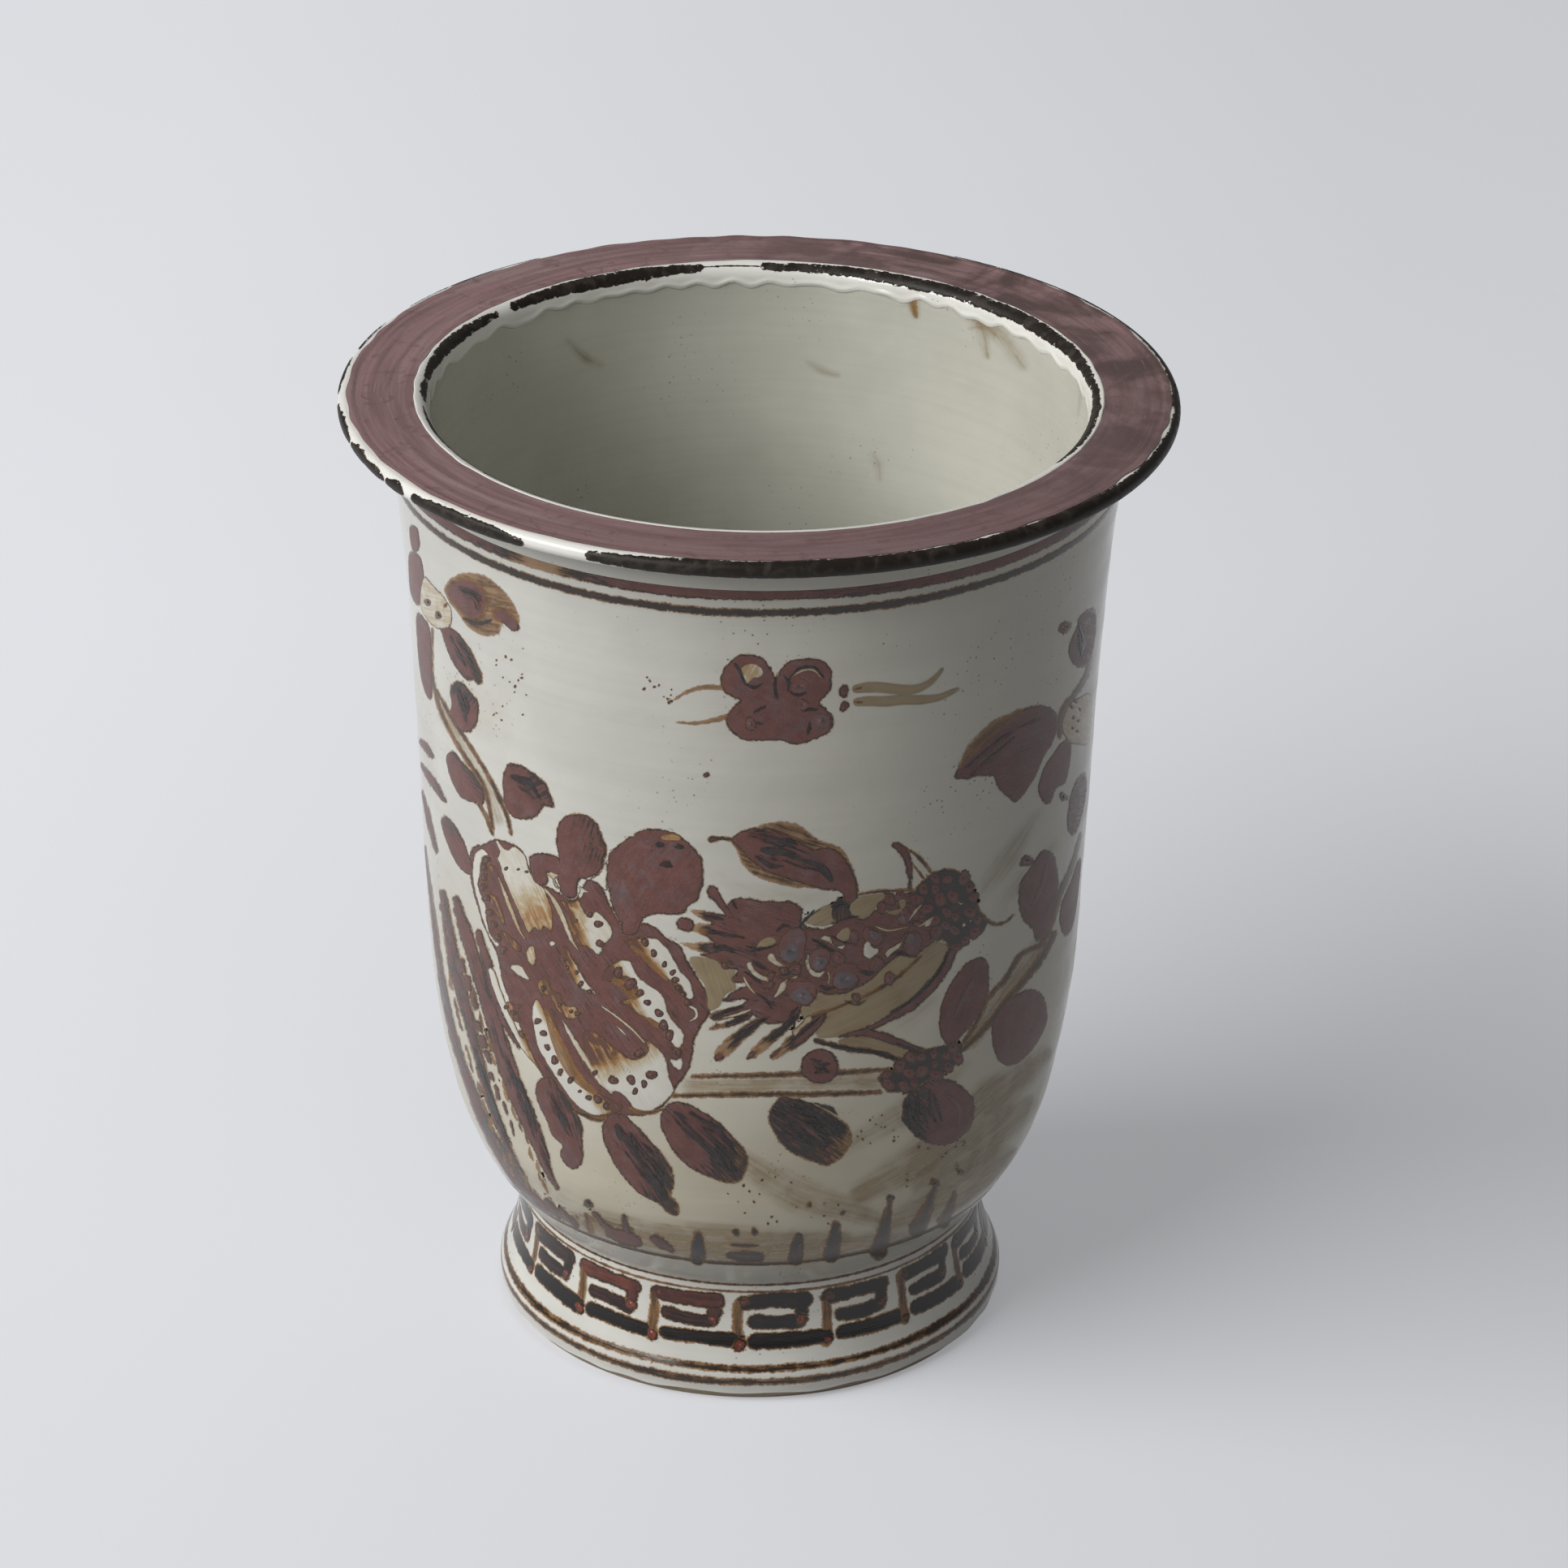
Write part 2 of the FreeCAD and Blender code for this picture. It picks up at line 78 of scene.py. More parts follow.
# Radii, in millimetres, at which the charts of the skins are drawn.
GIRTH, FOOT_GIRTH, LIP_GIRTH, RIM_GIRTH, MOUTH_GIRTH, INSIDE_GIRTH = 120.0, 88.0, 148.0, 134.0, 118.0, 112.0
# How far a film goes on past the edge of its mark, in millimetres, and how thick it is, in metres.
FRINGE = 1.3
FILM_WALL = 0.0002
# How far a line of sight is walked each way from the pot's axis, in millimetres, and in how many steps.
SIGHT_SPAN, SIGHT_STEPS = 200, 500
# How many places of a ring are tried to find the one that a pixel shows.
RING_TRIES = 4001
# Half the step over which a meridian's direction is taken, in millimetres.
HALF_STEP = 0.04
# Pixels over which the wall's slant is taken, and the most that it may stretch a mark.
PROBE, MOST_SLANT = 2.0, 4
# Rows of the grid behind a coat, fewer than in front.
BACK_ROWS = 24
# How far the far side's grain is moved, so that its brush hairs differ.
FAR_GRAIN = (3.0, 5.0, 71.0)
# Points round a painted ring and round a dot.
RING_TURNS, DOT_TURNS = 300, 14
# A grid is closed round its rows, or round rows and columns.
ROUND, ALL_ROUND = ((0, 0), (0, 1)), ((0, 1), (0, 1))


def colour(name, words, value):
    """A colour that a user can change."""
    return FloatVectorProperty(
        name=name, description=words, subtype="COLOR", size=3, min=0, max=1, default=value)


class PotSizes(bpy.types.PropertyGroup):
    """Sizes of the finish."""

    ripple: FloatProperty(name="Throwing ripple", description="Depth of the throwing rings left on the wall",
                          default=0.00022, unit="LENGTH", precision=5)
    scallop: FloatProperty(name="Bead scallop",
                           description="How far the mouth's white bead runs down in waves",
                           default=0.0017, unit="LENGTH", precision=5)
    film: FloatProperty(name="Paint film", description="How far the paint stands on the glaze",
                        default=0.00006, unit="LENGTH", precision=6)
    fret_keys: IntProperty(name="Fret keys", description="Keys of the fret round the foot",
                           default=17, min=8, max=30)
    repeat: FloatProperty(name="Repeat", description="Turn at which the painting is repeated on the far side",
                          default=math.pi, subtype="ANGLE", unit="ROTATION")


class PotColours(bpy.types.PropertyGroup):
    """Colours of the finish, linear."""

    glaze: colour("Glaze", "The wall's off-white glaze", (0.578, 0.57, 0.525))
    # Darker than the wall's glaze: partly its greyer colour, partly painted shade for the pot's hollow inside.
    inside: colour("Inside glaze", "The glaze inside, thinner and greyer", (0.54, 0.535, 0.47))
    white: colour("White bead", "Glaze on lip and mouth", (0.76, 0.75, 0.70))
    iron: colour("Iron rim", "The mauve coat on the rim's top", (0.235, 0.136, 0.136))
    mauve: colour("Mauve", "Paint where it lies thick", (0.132, 0.051, 0.041))
    lavender: colour("Lavender", "Paint at its thickest", (0.115, 0.094, 0.10))
    black: colour("Black", "Paint of middling thickness", (0.020, 0.015, 0.012))
    amber: colour("Amber", "Paint where it lies thin", (0.30, 0.15, 0.05))
    rust: colour("Rust", "Thick paint of the fret", (0.13, 0.032, 0.018))
    clay: colour("Clay", "Fired body", (0.42, 0.33, 0.24))
    floor: colour("Floor", "The stage", (0.79, 0.80, 0.835))


def sizes():
    """The sizes in use."""
    return bpy.context.scene.pot_sizes


def tint(name):
    """A colour in use, with its opacity."""
    return tuple(getattr(bpy.context.scene.pot_colours, name)) + (1.0,)


def glide(knots, values, at):
    """A cubic through every knot, whose slope at a knot is the slope between its neighbours."""
    slopes = np.gradient(values, knots)
    at = np.clip(at, knots[0], knots[-1])
    left = np.clip(np.searchsorted(knots, at, side="right") - 1, 0, len(knots) - 2)
    span = knots[left + 1] - knots[left]
    t = (at - knots[left]) / span
    one, two = values[left], values[left + 1]
    bend_one, bend_two = slopes[left] * span, slopes[left + 1] * span
    return (one * (1 + 2 * t) * (1 - t) ** 2 + bend_one * t * (1 - t) ** 2
            + two * t * t * (3 - 2 * t) - bend_two * t * t * (1 - t))


def lengths(points):
    """How far along a path each of its points lies."""
    return np.concatenate([[0.0], np.cumsum(np.maximum(np.hypot(*np.diff(points, axis=0).T), 1e-6))])


def around(count):
    """Even turns round the pot, in radians."""
    return np.linspace(0, TURN, count, endpoint=False)


def quads(shape, flip=False, wrap=(0, 0)):
    """Faces between the neighbours in a grid of points that are numbered row by row."""
    number = np.pad(np.arange(np.prod(shape)).reshape(shape), wrap, "wrap")
    corners = np.stack([number[:-1, :-1], number[:-1, 1:], number[1:, 1:], number[1:, :-1]], -1)
    return corners[..., [0, 3, 2, 1]] if flip else corners


def node_rows(node, side):
    """Meridian points (radius, height) of a node's faces that look away from the axis (side 1)
    or to it (side -1)."""
    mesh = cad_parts[node].data
    place = np.empty(len(mesh.vertices) * 3)
    mesh.vertices.foreach_get("co", place)
    place = place.reshape(-1, 3) * MM
    normal = np.empty(len(mesh.polygons) * 3)
    mesh.polygons.foreach_get("normal", normal)
    corner = np.empty(len(mesh.loops), int)
    mesh.loops.foreach_get("vertex_index", corner)
    corner = corner.reshape(-1, 3)
    middle = place[corner].mean(1)
    facing = (normal.reshape(-1, 3)[:, :2] * middle[:, :2]).sum(1) / np.hypot(middle[:, 0], middle[:, 1])
    kept = place[np.unique(corner[facing * side > 0.05])]
    rows = np.stack([np.hypot(kept[:, 0], kept[:, 1]), kept[:, 2]], -1)
    rows = rows[np.argsort(rows[:, 1])]
    fresh = np.concatenate([[True], np.diff(rows[:, 1]) > 0.02])
    return rows[fresh]


class Skin:
    """A turned surface: a meridian of radius and height carried round the pot's axis.

    A point is given by its length along the meridian and by its length round a ring of the chart's girth.
    The meridian runs up the outside, in over the rim and down the inside, so its normal,
    a quarter turn clockwise from its direction, always leaves the clay.
    """

    def __init__(self, rows, girth=GIRTH, ripple=0.0):
        self.rows = np.asarray(rows, float)
        self.marks = lengths(self.rows)
        self.reach = self.marks[-1]
        self.girth = girth
        self.ripple = ripple
        self.sunk = 0.0

    def level(self, height):
        """Length along the meridian at a height."""
        return np.interp(height, self.rows[:, 1], self.marks)

    def swell(self, turn, along):
        """Throwing rings: sines along the meridian, drifting with the turn, faded out at both ends."""
        fade = np.clip(along / 12, 0, 1) * np.clip((self.reach - along) / 40, 0, 1)
        rings = (np.sin(along / 1.9 + 0.8 * np.sin(turn)) * 0.25
                 + np.sin(along / 3.7 + 1.3 * np.sin(turn + 2)) * 0.45
                 + np.sin(along / 11 + 2 * np.sin(turn + 4))
                 + 0.9 * np.sin(2 * turn + along / 60))
        return self.ripple * fade * rings * 0.5

    def place(self, across, along, lift=0.0):
        """Points in space: the meridian's point plus the lift along its normal, turned by across
        over girth."""
        along = np.asarray(along, float)
        turn = np.asarray(across, float) / self.girth
        near, far = along - HALF_STEP, along + HALF_STEP
        reach_r = glide(self.marks, self.rows[:, 0], far) - glide(self.marks, self.rows[:, 0], near)
        reach_z = glide(self.marks, self.rows[:, 1], far) - glide(self.marks, self.rows[:, 1], near)
        size = np.maximum(np.hypot(reach_r, reach_z), 1e-9)
        lift = lift + self.swell(turn, along) - self.sunk
        r = glide(self.marks, self.rows[:, 0], along) + lift * reach_z / size
        z = glide(self.marks, self.rows[:, 1], along) - lift * reach_r / size
        return np.stack([r * np.sin(turn), -r * np.cos(turn), z + 0 * turn], -1)


def rays(pixels):
    """Directions of sight through pixels, one unit deep."""
    pixels = np.asarray(pixels, float).reshape(-1, 2)
    return (pixels[:, :1] - MIDDLE) / FOCUS * RIGHT + (MIDDLE - pixels[:, 1:]) / FOCUS * UP - BACK


def on_wall(skin, pixels, way=1):
    """Chart places of pixels: each line of sight is walked in even steps to the first one below the skin,
    and that step is split in proportion. A line that misses takes its nearest approach.
    Walked from the far end (way -1), it finds the far wall of the inside."""
    rows, marks = skin.rows[::way], skin.marks[::way]
    walk = np.linspace(REACH - SIGHT_SPAN * way, REACH + SIGHT_SPAN * way, SIGHT_STEPS)
    point = EYE + rays(pixels)[:, None] * walk[:, None]
    gap = np.hypot(point[..., 0], point[..., 1]) - np.interp(point[..., 2], rows[:, 1], rows[:, 0])
    met = (gap < 0).any(1)
    step = np.where(met, np.argmax(gap < 0, 1), np.argmin(gap, 1)).clip(1)
    row = np.arange(len(step))
    before, after = gap[row, step - 1], gap[row, step]
    share = np.where(met, before / np.where(met, before - after, 1), 1.0)[:, None]
    hit = point[row, step - 1] * (1 - share) + point[row, step] * share
    across = skin.girth * np.arctan2(hit[:, 0], -hit[:, 1])
    return np.stack([across, np.interp(hit[:, 2], rows[:, 1], marks)], -1)


def in_mouth(skin, pixels):
    """Chart places of pixels on the far inner wall."""
    return on_wall(skin, pixels, -1)


def turn_at(pixels, radius, height):
    """Turns, in radians, of the points on a level ring that are seen nearest to given pixels."""
    turn = np.linspace(-math.pi, math.pi, RING_TRIES)
    ring = np.stack([radius * np.sin(turn), -radius * np.cos(turn), np.full_like(turn, height)], -1) - EYE
    deep = ring @ -BACK
    seen = np.stack([MIDDLE + FOCUS * (ring @ RIGHT) / deep, MIDDLE - FOCUS * (ring @ UP) / deep], -1)
    pixels = np.asarray(pixels, float).reshape(-1, 1, 2)
    return turn[np.argmin(((seen - pixels) ** 2).sum(-1), 1)]


def wavy(turn, seed, most, least=3):
    """A smooth ring of waves between -1 and 1: sines of whole numbers of turns with seeded phases."""
    dice = np.random.default_rng(seed)
    counts = np.arange(least, most)
    phase = dice.uniform(0, TURN, len(counts))
    high = dice.uniform(0.3, 1, len(counts))
    total = (high * np.sin(np.asarray(turn)[..., None] * counts + phase)).sum(-1)
    return total / np.sqrt((high ** 2).sum() * 2)


def piece(name, points, faces, finish, sharp=50.0):
    """A mesh object at the origin that rides on the pot's one body."""
    mesh = bpy.data.meshes.new(name)
    mesh.from_pydata((points * METRE).tolist(), [], faces.tolist())
    mesh.polygons.foreach_set("use_smooth", np.ones(len(mesh.polygons), bool))
    mesh.set_sharp_from_angle(angle=math.radians(sharp))
    mesh.materials.append(finish)
    thing = bpy.data.objects.new(name, mesh)
    bpy.context.scene.collection.objects.link(thing)
    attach(thing, "root")
    return thing


def coat(name, skin, thick, turns, alongs, finish, start=0.0, stop=None, lift=None):
    """A closed glaze coat: the skin's grid between two edges in front, a sunk and coarser grid behind,
    wrapped round the pot and round the coat's section."""
    turn = around(turns)
    share = np.arange(alongs)[:, None] / (alongs - 1)
    first = np.broadcast_to(start, turn.shape) if np.ndim(start) else np.full_like(turn, start)
    final = np.full_like(turn, skin.reach) if stop is None else stop
    front = first + share * (final - first)
    behind = front[::-1][:: max(1, alongs // BACK_ROWS)]
    across = np.broadcast_to(turn * skin.girth, front.shape)
    raised = 0.0 if lift is None else lift(turn[None], share, front)
    outer = skin.place(across, front, raised)
    inner = skin.place(np.broadcast_to(turn * skin.girth, behind.shape), behind, -thick)
    grid = np.concatenate([outer, inner])
    faces = quads(grid.shape[:2], wrap=ALL_ROUND).reshape(-1, 4)
    return piece(name, grid.reshape(-1, 3), faces, finish)


class Paint:
    """Brush marks on a skin, each a thin film on a grid of the chart, gathered into one mesh.

    Places go x, y in turn, and places, widths and radii are in pixels of the sheet. Paint without a look
    takes them in millimetres of the chart. A load is how thick the paint lies, dark how streaky it is,
    and a tier how high a mark lies over the others.

    Every film carries how far it is inside its mark's edge, how thickly it was loaded and how streaky it is,
    and a grain that runs along the stroke. The finish turns these into colour.
    """

    def __init__(self, skin, look=on_wall, unit=PIXEL):
        self.skin, self.look, self.unit = skin, look, unit
        self.spots, self.faces, self.pigment, self.grain = [], [], [], []
        self.total = 0
        self.marks = 0
        self.over = None

    def film(self, across, along, cells, edge, load, dark, grain, tier):
        """Lay a grid of chart points on the skin, lifted more where it is well inside the mark."""
        self.marks += 1
        edge = edge * 1.2 / np.clip(0.9 * edge.max(), 0.45, 1.2)
        inside = np.clip((edge + FRINGE) / (2 * FRINGE), 0, 1)
        step = sizes().film * MM
        lift = step * (0.4 + inside * (0.6 + tier * 0.5)) + self.marks % 9 * step * 0.05
        self.spots.append(np.stack([across, along, lift], -1))
        self.faces.append(cells + self.total)
        self.pigment.append(np.stack([edge, load + 0 * edge, dark + 0 * edge], -1))
        seed = np.full_like(edge, self.marks * 3.7)
        self.grain.append(np.stack([grain[0], grain[1], seed], -1))
        self.total += len(across)

    def chart(self, places):
        """Chart places of what was read from the sheet."""
        places = np.asarray(places, float).reshape(-1, 2)
        return places if self.look is None else self.look(self.skin, places)

    def spread(self, places):
        """How the chart moves, in millimetres, for one millimetre to the right and up on the sheet,
        at each place. It grows towards the pot's sides, where the sheet sees the wall at a slant,
        and is held to a limit."""
        if self.look is None:
            return np.broadcast_to(np.eye(2), (len(places), 2, 2))
        right, up = np.array([PROBE, 0.0]), np.array([0.0, -PROBE])
        moves = [(self.chart(places + move) - self.chart(places - move)) / (2 * PROBE * self.unit)
                 for move in (right, up)]
        moves = np.stack(moves, 1)
        size = np.hypot(*np.moveaxis(moves, -1, 0))[..., None]
        return moves * np.minimum(1, MOST_SLANT / np.maximum(size, 1e-9))

    def line(self, places, widths, load=1.0, dark=0.25, tier=1, step=1.1):
        """A stroke: a cubic through the places on the sheet, a width along it, and a grid from edge to edge
        and past both ends, laid on the chart as the sheet's slant there asks."""
        knots = np.asarray(places, float).reshape(-1, 2)
        marks = lengths(knots) * self.unit
        half = np.interp(marks / marks[-1], np.linspace(0, 1, np.size(widths)),
                         np.ravel(widths)) * self.unit / 2
        first, final = half[0] + FRINGE, half[-1] + FRINGE
        count = max(5, int((marks[-1] + first + final) / step))
        s = np.linspace(-first, marks[-1] + final, count)
        held = np.clip(s, 0, marks[-1])
        past = s - held
        spine = np.stack([glide(marks, knots[:, k], held) for k in (0, 1)], -1)
        ahead = [glide(marks, knots[:, k], held + 0.2) - glide(marks, knots[:, k], held - 0.2)
                 for k in (0, 1)]
        ahead = np.stack(ahead, -1)
        ahead /= np.maximum(np.hypot(*ahead.T), 1e-9)[:, None]
        if self.look is not None:
            ahead[:, 1] *= -1
        moves = self.spread(spine)
        onward = (ahead[:, :, None] * moves).sum(1)
        aside = (np.stack([-ahead[:, 1], ahead[:, 0]], -1)[:, :, None] * moves).sum(1)
        wide = np.interp(held, marks, half)
        rows = 7 if wide.max() < 2 else 11
        out = np.linspace(-1, 1, rows) * (wide + FRINGE)[:, None]
        spot = (self.chart(spine) + onward * past[:, None])[:, None] + aside[:, None] * out[..., None]
        edge = wide[:, None] - np.hypot(past[:, None], out)
        cells = quads(out.shape, flip=True).reshape(-1, 4)
        grain = np.broadcast_to(s[:, None], out.shape).ravel(), out.ravel()
        self.film(spot[..., 0].ravel(), spot[..., 1].ravel(), cells, edge.ravel(), load, dark, grain, tier)

    def vein(self, places, widths, dark=0.7, tier=5):
        """A black streak over the other marks, gathered apart because it has its own finish."""
        self.over = self.over or Paint(self.skin, self.look, self.unit)
        self.over.line(places, widths, load=1.0, dark=dark, tier=tier)

    def blob(self, places, load=1.0, dark=0.25, tier=1, step=1.0, lean=None, fade=None):
        """A filled mark: the chart's square grid, cut to the cells near or inside a smooth closed outline,
        with each point's signed distance to that outline. The grain runs at a lean, or else along the
        mark's longest way, the first axis of its spread. A fade of degrees and amount thins the load
        smoothly over the last half of the mark that way."""
        corner = self.chart(places)
        ring = np.concatenate([corner[-2:], corner, corner[:3]])
        marks = lengths(ring)
        first, final = marks[2], marks[2 + len(corner)]
        at = np.linspace(first, final, max(24, int((final - first) / 0.8)), endpoint=False)
        outline = np.stack([glide(marks, ring[:, 0], at), glide(marks, ring[:, 1], at)], -1)
        if lean is None:
            axis = np.linalg.svd(outline - outline.mean(0), full_matrices=False)[2][0]
            lean = math.atan2(axis[1], axis[0])
        low, high = outline.min(0) - FRINGE - step, outline.max(0) + FRINGE + step
        x, y = np.arange(low[0], high[0], step), np.arange(low[1], high[1], step)
        spot = np.stack(np.meshgrid(x, y), -1)
        edge = signed(spot.reshape(-1, 2), outline).reshape(len(y), len(x))
        near = np.maximum.reduce([edge[:-1, :-1], edge[:-1, 1:], edge[1:, 1:], edge[1:, :-1]]) > -FRINGE
        cells = quads(edge.shape)[near]
        used, cells = np.unique(cells, return_inverse=True)
        spot, edge = spot.reshape(-1, 2)[used], edge.ravel()[used]
        grain = (spot[:, 0] * math.cos(lean) + spot[:, 1] * math.sin(lean),
                 spot[:, 1] * math.cos(lean) - spot[:, 0] * math.sin(lean))
        if fade:
            way = np.array([math.cos(math.radians(fade[0])), math.sin(math.radians(fade[0]))])
            far, ends = spot @ way, outline @ way
            share = np.clip((far - ends.min()) / np.ptp(ends) * 1.9 - 0.75, 0, 1)
            load = load - fade[1] * share * share * (3 - 2 * share)
        self.film(spot[:, 0], spot[:, 1], cells.reshape(-1, 4), edge, load, dark, grain, tier)

    def band(self, height, width, load, dark, seed, waver):
        """A ring painted on the wheel: a closed strip at one height whose middle and width wander."""
        turn = around(RING_TURNS)
        half = width / 2 * (1 + waver * wavy(turn, seed, 14, 2))
        middle = self.skin.level(height) + width * waver * wavy(turn, seed + 50, 7, 1)
        out = np.linspace(-1, 1, 9)[:, None] * (half + FRINGE)
        along = middle + out
        across = np.broadcast_to(turn * self.skin.girth, along.shape)
        edge = half - abs(out)
        cells = quads(along.shape, wrap=ROUND).reshape(-1, 4)
        amount = np.broadcast_to(load(turn) if callable(load) else load, along.shape).ravel()
        self.film(across.ravel(), along.ravel(), cells, edge.ravel(), amount, dark,
                  (across.ravel(), out.ravel()), 1)

    def dot(self, place, radius, load=0.8, dark=0.15, tier=2):
        """A touch of the brush: rings of a small disc, slightly oval by its own number."""
        place = np.asarray(place, float).reshape(1, 2)
        centre, moves = self.chart(place)[0], self.spread(place)[0]
        size = radius * self.unit
        ring = np.array([0.0, 0.5, 1.0, 1.0])[:, None]
        past = np.array([0.0, 0.0, 0.0, FRINGE * 0.8])[:, None]
        turn = around(DOT_TURNS)
        oval = 1 + 0.16 * np.sin(2 * turn + self.marks) + 0.07 * np.sin(3 * turn + 2.3 * self.marks)
        reach = ring * size * oval + past
        spot = (centre + (reach * np.cos(turn))[..., None] * moves[0]
                + (reach * np.sin(turn))[..., None] * moves[1])
        across, along = spot[..., 0], spot[..., 1]
        edge = np.broadcast_to((1 - ring) * size - past, reach.shape)
        cells = quads(reach.shape, flip=True, wrap=ROUND).reshape(-1, 4)
        self.film(across.ravel(), along.ravel(), cells, edge.ravel(), load, dark,
                  (across.ravel(), along.ravel()), tier)

    def done(self, name, finish, slot="wall_glaze", repeat=True):
        """One mesh of all the marks, and their repeat on the far side, closed by a thin wall behind."""
        spots, faces = np.concatenate(self.spots).T, np.concatenate(self.faces)
        points = self.skin.place(*spots)
        pigment, grain = np.concatenate(self.pigment), np.concatenate(self.grain)
        if repeat:
            across = spots[0] + sizes().repeat * self.skin.girth
            points = np.concatenate([points, self.skin.place(across, *spots[1:])])
            faces = np.concatenate([faces, faces + self.total])
            pigment, grain = np.concatenate([pigment] * 2), np.concatenate([grain, grain + FAR_GRAIN])
        thing = piece(name, points, faces, finish, sharp=180.0)
        for word, values in (("pigment", pigment), ("grain", grain)):
            layer = thing.data.attributes.new(word, "FLOAT_VECTOR", "POINT")
            layer.data.foreach_set("vector", np.ravel(values).astype(np.float32))
        wall = thing.modifiers.new("film", "SOLIDIFY")
        wall.thickness = FILM_WALL
        wall.offset = -1.0
        if self.over:
            self.over.done(name + "_veins", once(dark_vein), slot, repeat)
        return thing


def signed(spots, outline):
    """Distance of each spot to a closed outline, above zero inside: the nearest of the distances to its
    sides, with the sign from how often a level line to the right crosses it."""
    start, stop = outline, np.roll(outline, -1, 0)
    side = stop - start
    size = np.maximum((side ** 2).sum(1), 1e-12)
    best = np.full(len(spots), 1e9)
    crossed = np.zeros(len(spots), int)
    for part in np.array_split(np.arange(len(start)), max(1, len(start) // 40)):
        away = spots[:, None] - start[part]
        share = np.clip((away * side[part]).sum(-1) / size[part], 0, 1)
        best = np.minimum(best, np.hypot(*np.moveaxis(away - share[..., None] * side[part], -1, 0)).min(1))
        rising = (start[part, 1] > spots[:, 1:]) != (stop[part, 1] > spots[:, 1:])
        drop = np.where(abs(side[part, 1]) < 1e-12, 1e-12, side[part, 1])
        right = start[part, 0] + side[part, 0] * (spots[:, 1:] - start[part, 1]) / drop > spots[:, :1]
        crossed += (rising & right).sum(1)
    return np.where(crossed % 2 == 1, best, -best)


class Finish:
    """A material while it is wired: each call adds a node, feeds its sockets and gives back its output."""

    def __init__(self, name):
        self.material = bpy.data.materials.new(name)
        self.material.use_nodes = True
        self.tree = self.material.node_tree
        self.shader = self.tree.nodes["Principled BSDF"]
        self.here = self.node("TexCoord", out="Object")

    def feed(self, socket, value):
        """Link an output to a socket, or set the socket to a value."""
        if isinstance(value, bpy.types.NodeSocket):
            self.tree.links.new(value, socket)
        else:
            socket.default_value = value

    def node(self, kind, *values, out=0, named=None, **settings):
        """Add a node of one kind."""
        made = self.tree.nodes.new("ShaderNode" + kind)
        for word, value in settings.items():
            setattr(made, word, value)
        for place, value in enumerate(values):
            if value is not None:
                self.feed(made.inputs[place], value)
        for word, value in (named or {}).items():
            self.feed(made.inputs[word], value)
        return made.outputs[out]

    def maths(self, operation, *values):
        """One sum."""
        return self.node("Math", *values, operation=operation)

    def times(self, one, two):
        """A product."""
        return self.maths("MULTIPLY", one, two)

    def plus(self, one, two):
        """A total."""
        return self.maths("ADD", one, two)

    def less(self, one, two):
        """A difference."""
        return self.maths("SUBTRACT", one, two)

    def mark(self):
        """What a brush mark carries: the distance inside its edge, its load and how streaky it is."""
        return list(self.parts(self.node("Attribute", out="Vector", attribute_name="pigment")))

    def hairs(self, along, across, detail):
        """Noise drawn out along the stroke, as the brush's hairs leave it."""
        grain = self.node("Attribute", out="Vector", attribute_name="grain")
        return self.noise(1.0, detail, self.stretch((along, across, 1.0), grain))

    def ragged(self, edge, *frays):
        """A distance to the edge made uneven by noises of a size, a detail and a reach."""
        for size, detail, far in frays:
            edge = self.plus(edge, self.times(self.less(self.noise(size, detail), 0.5), far))
        return edge

    def noise(self, size, detail=3.0, where=None, bend=0.0):
        """Cloudy noise between 0 and 1, whose lumps are about so many millimetres wide."""
        named = {"Vector": where or self.here, "Scale": MM / size if where is None else 1.0 / size,
                 "Detail": detail, "Roughness": 0.55, "Distortion": bend}
        return self.node("TexNoise", out=0, named=named)

    def step(self, value, low, high, one=0.0, two=1.0):
        """A smooth step from one to two as the value goes from low to high."""
        return self.node("MapRange", value, low, high, one, two, interpolation_type="SMOOTHSTEP")

    def stretch(self, scale, where=None):
        """The place, stretched along each axis."""
        named = {"Vector": where or self.here, "Scale": scale}
        return self.node("Mapping", named=named)

    def mix(self, share, one, two, how="MIX"):
        """A blend of two colours."""
        made = self.tree.nodes.new("ShaderNodeMix")
        made.data_type = "RGBA"
        made.blend_type = how
        made.clamp_factor = True
        for place, value in ((0, share), (6, one), (7, two)):
            self.feed(made.inputs[place], value)
        return made.outputs[2]

    def ramp(self, value, *stops):
        """Colours at marked values, blended between."""
        made = self.tree.nodes.new("ShaderNodeValToRGB")
        band = made.color_ramp
        while len(band.elements) < len(stops):
            band.elements.new(0.5)
        for element, (place, shade) in zip(band.elements, stops):
            element.position = place
        for element, (place, shade) in zip(band.elements, stops):
            element.color = shade
        self.feed(made.inputs[0], value)
        return made.outputs[0]

    def parts(self, vector):
        """The three numbers of a vector."""
        made = self.tree.nodes.new("ShaderNodeSeparateXYZ")
        self.feed(made.inputs[0], vector)
        return made.outputs

    def bump(self, height, strength, far):
        """A normal that follows a height."""
        return self.node("Bump", named={"Strength": strength, "Distance": far, "Height": height})

    def wear(self, **sockets):
        """Feed the shader and give the material."""
        for word, value in sockets.items():
            self.feed(self.shader.inputs[word.replace("_", " ")], value)
        return self.material


def shade(name, share):
    """A colour in use made lighter or darker, by one share or by one for each part."""
    return (*np.multiply(tint(name)[:3], share), 1.0)


def polar(make):
    """Round-the-pot coordinates of a place: turn times 0.12 m, radius, height."""
    x, y, z = make.parts(make.here)
    turn = make.times(make.maths("ARCTAN2", x, make.times(y, -1.0)), 0.12)
    far = make.maths("SQRT", make.plus(make.times(x, x), make.times(y, y)))
    return make.node("CombineXYZ", turn, far, z)


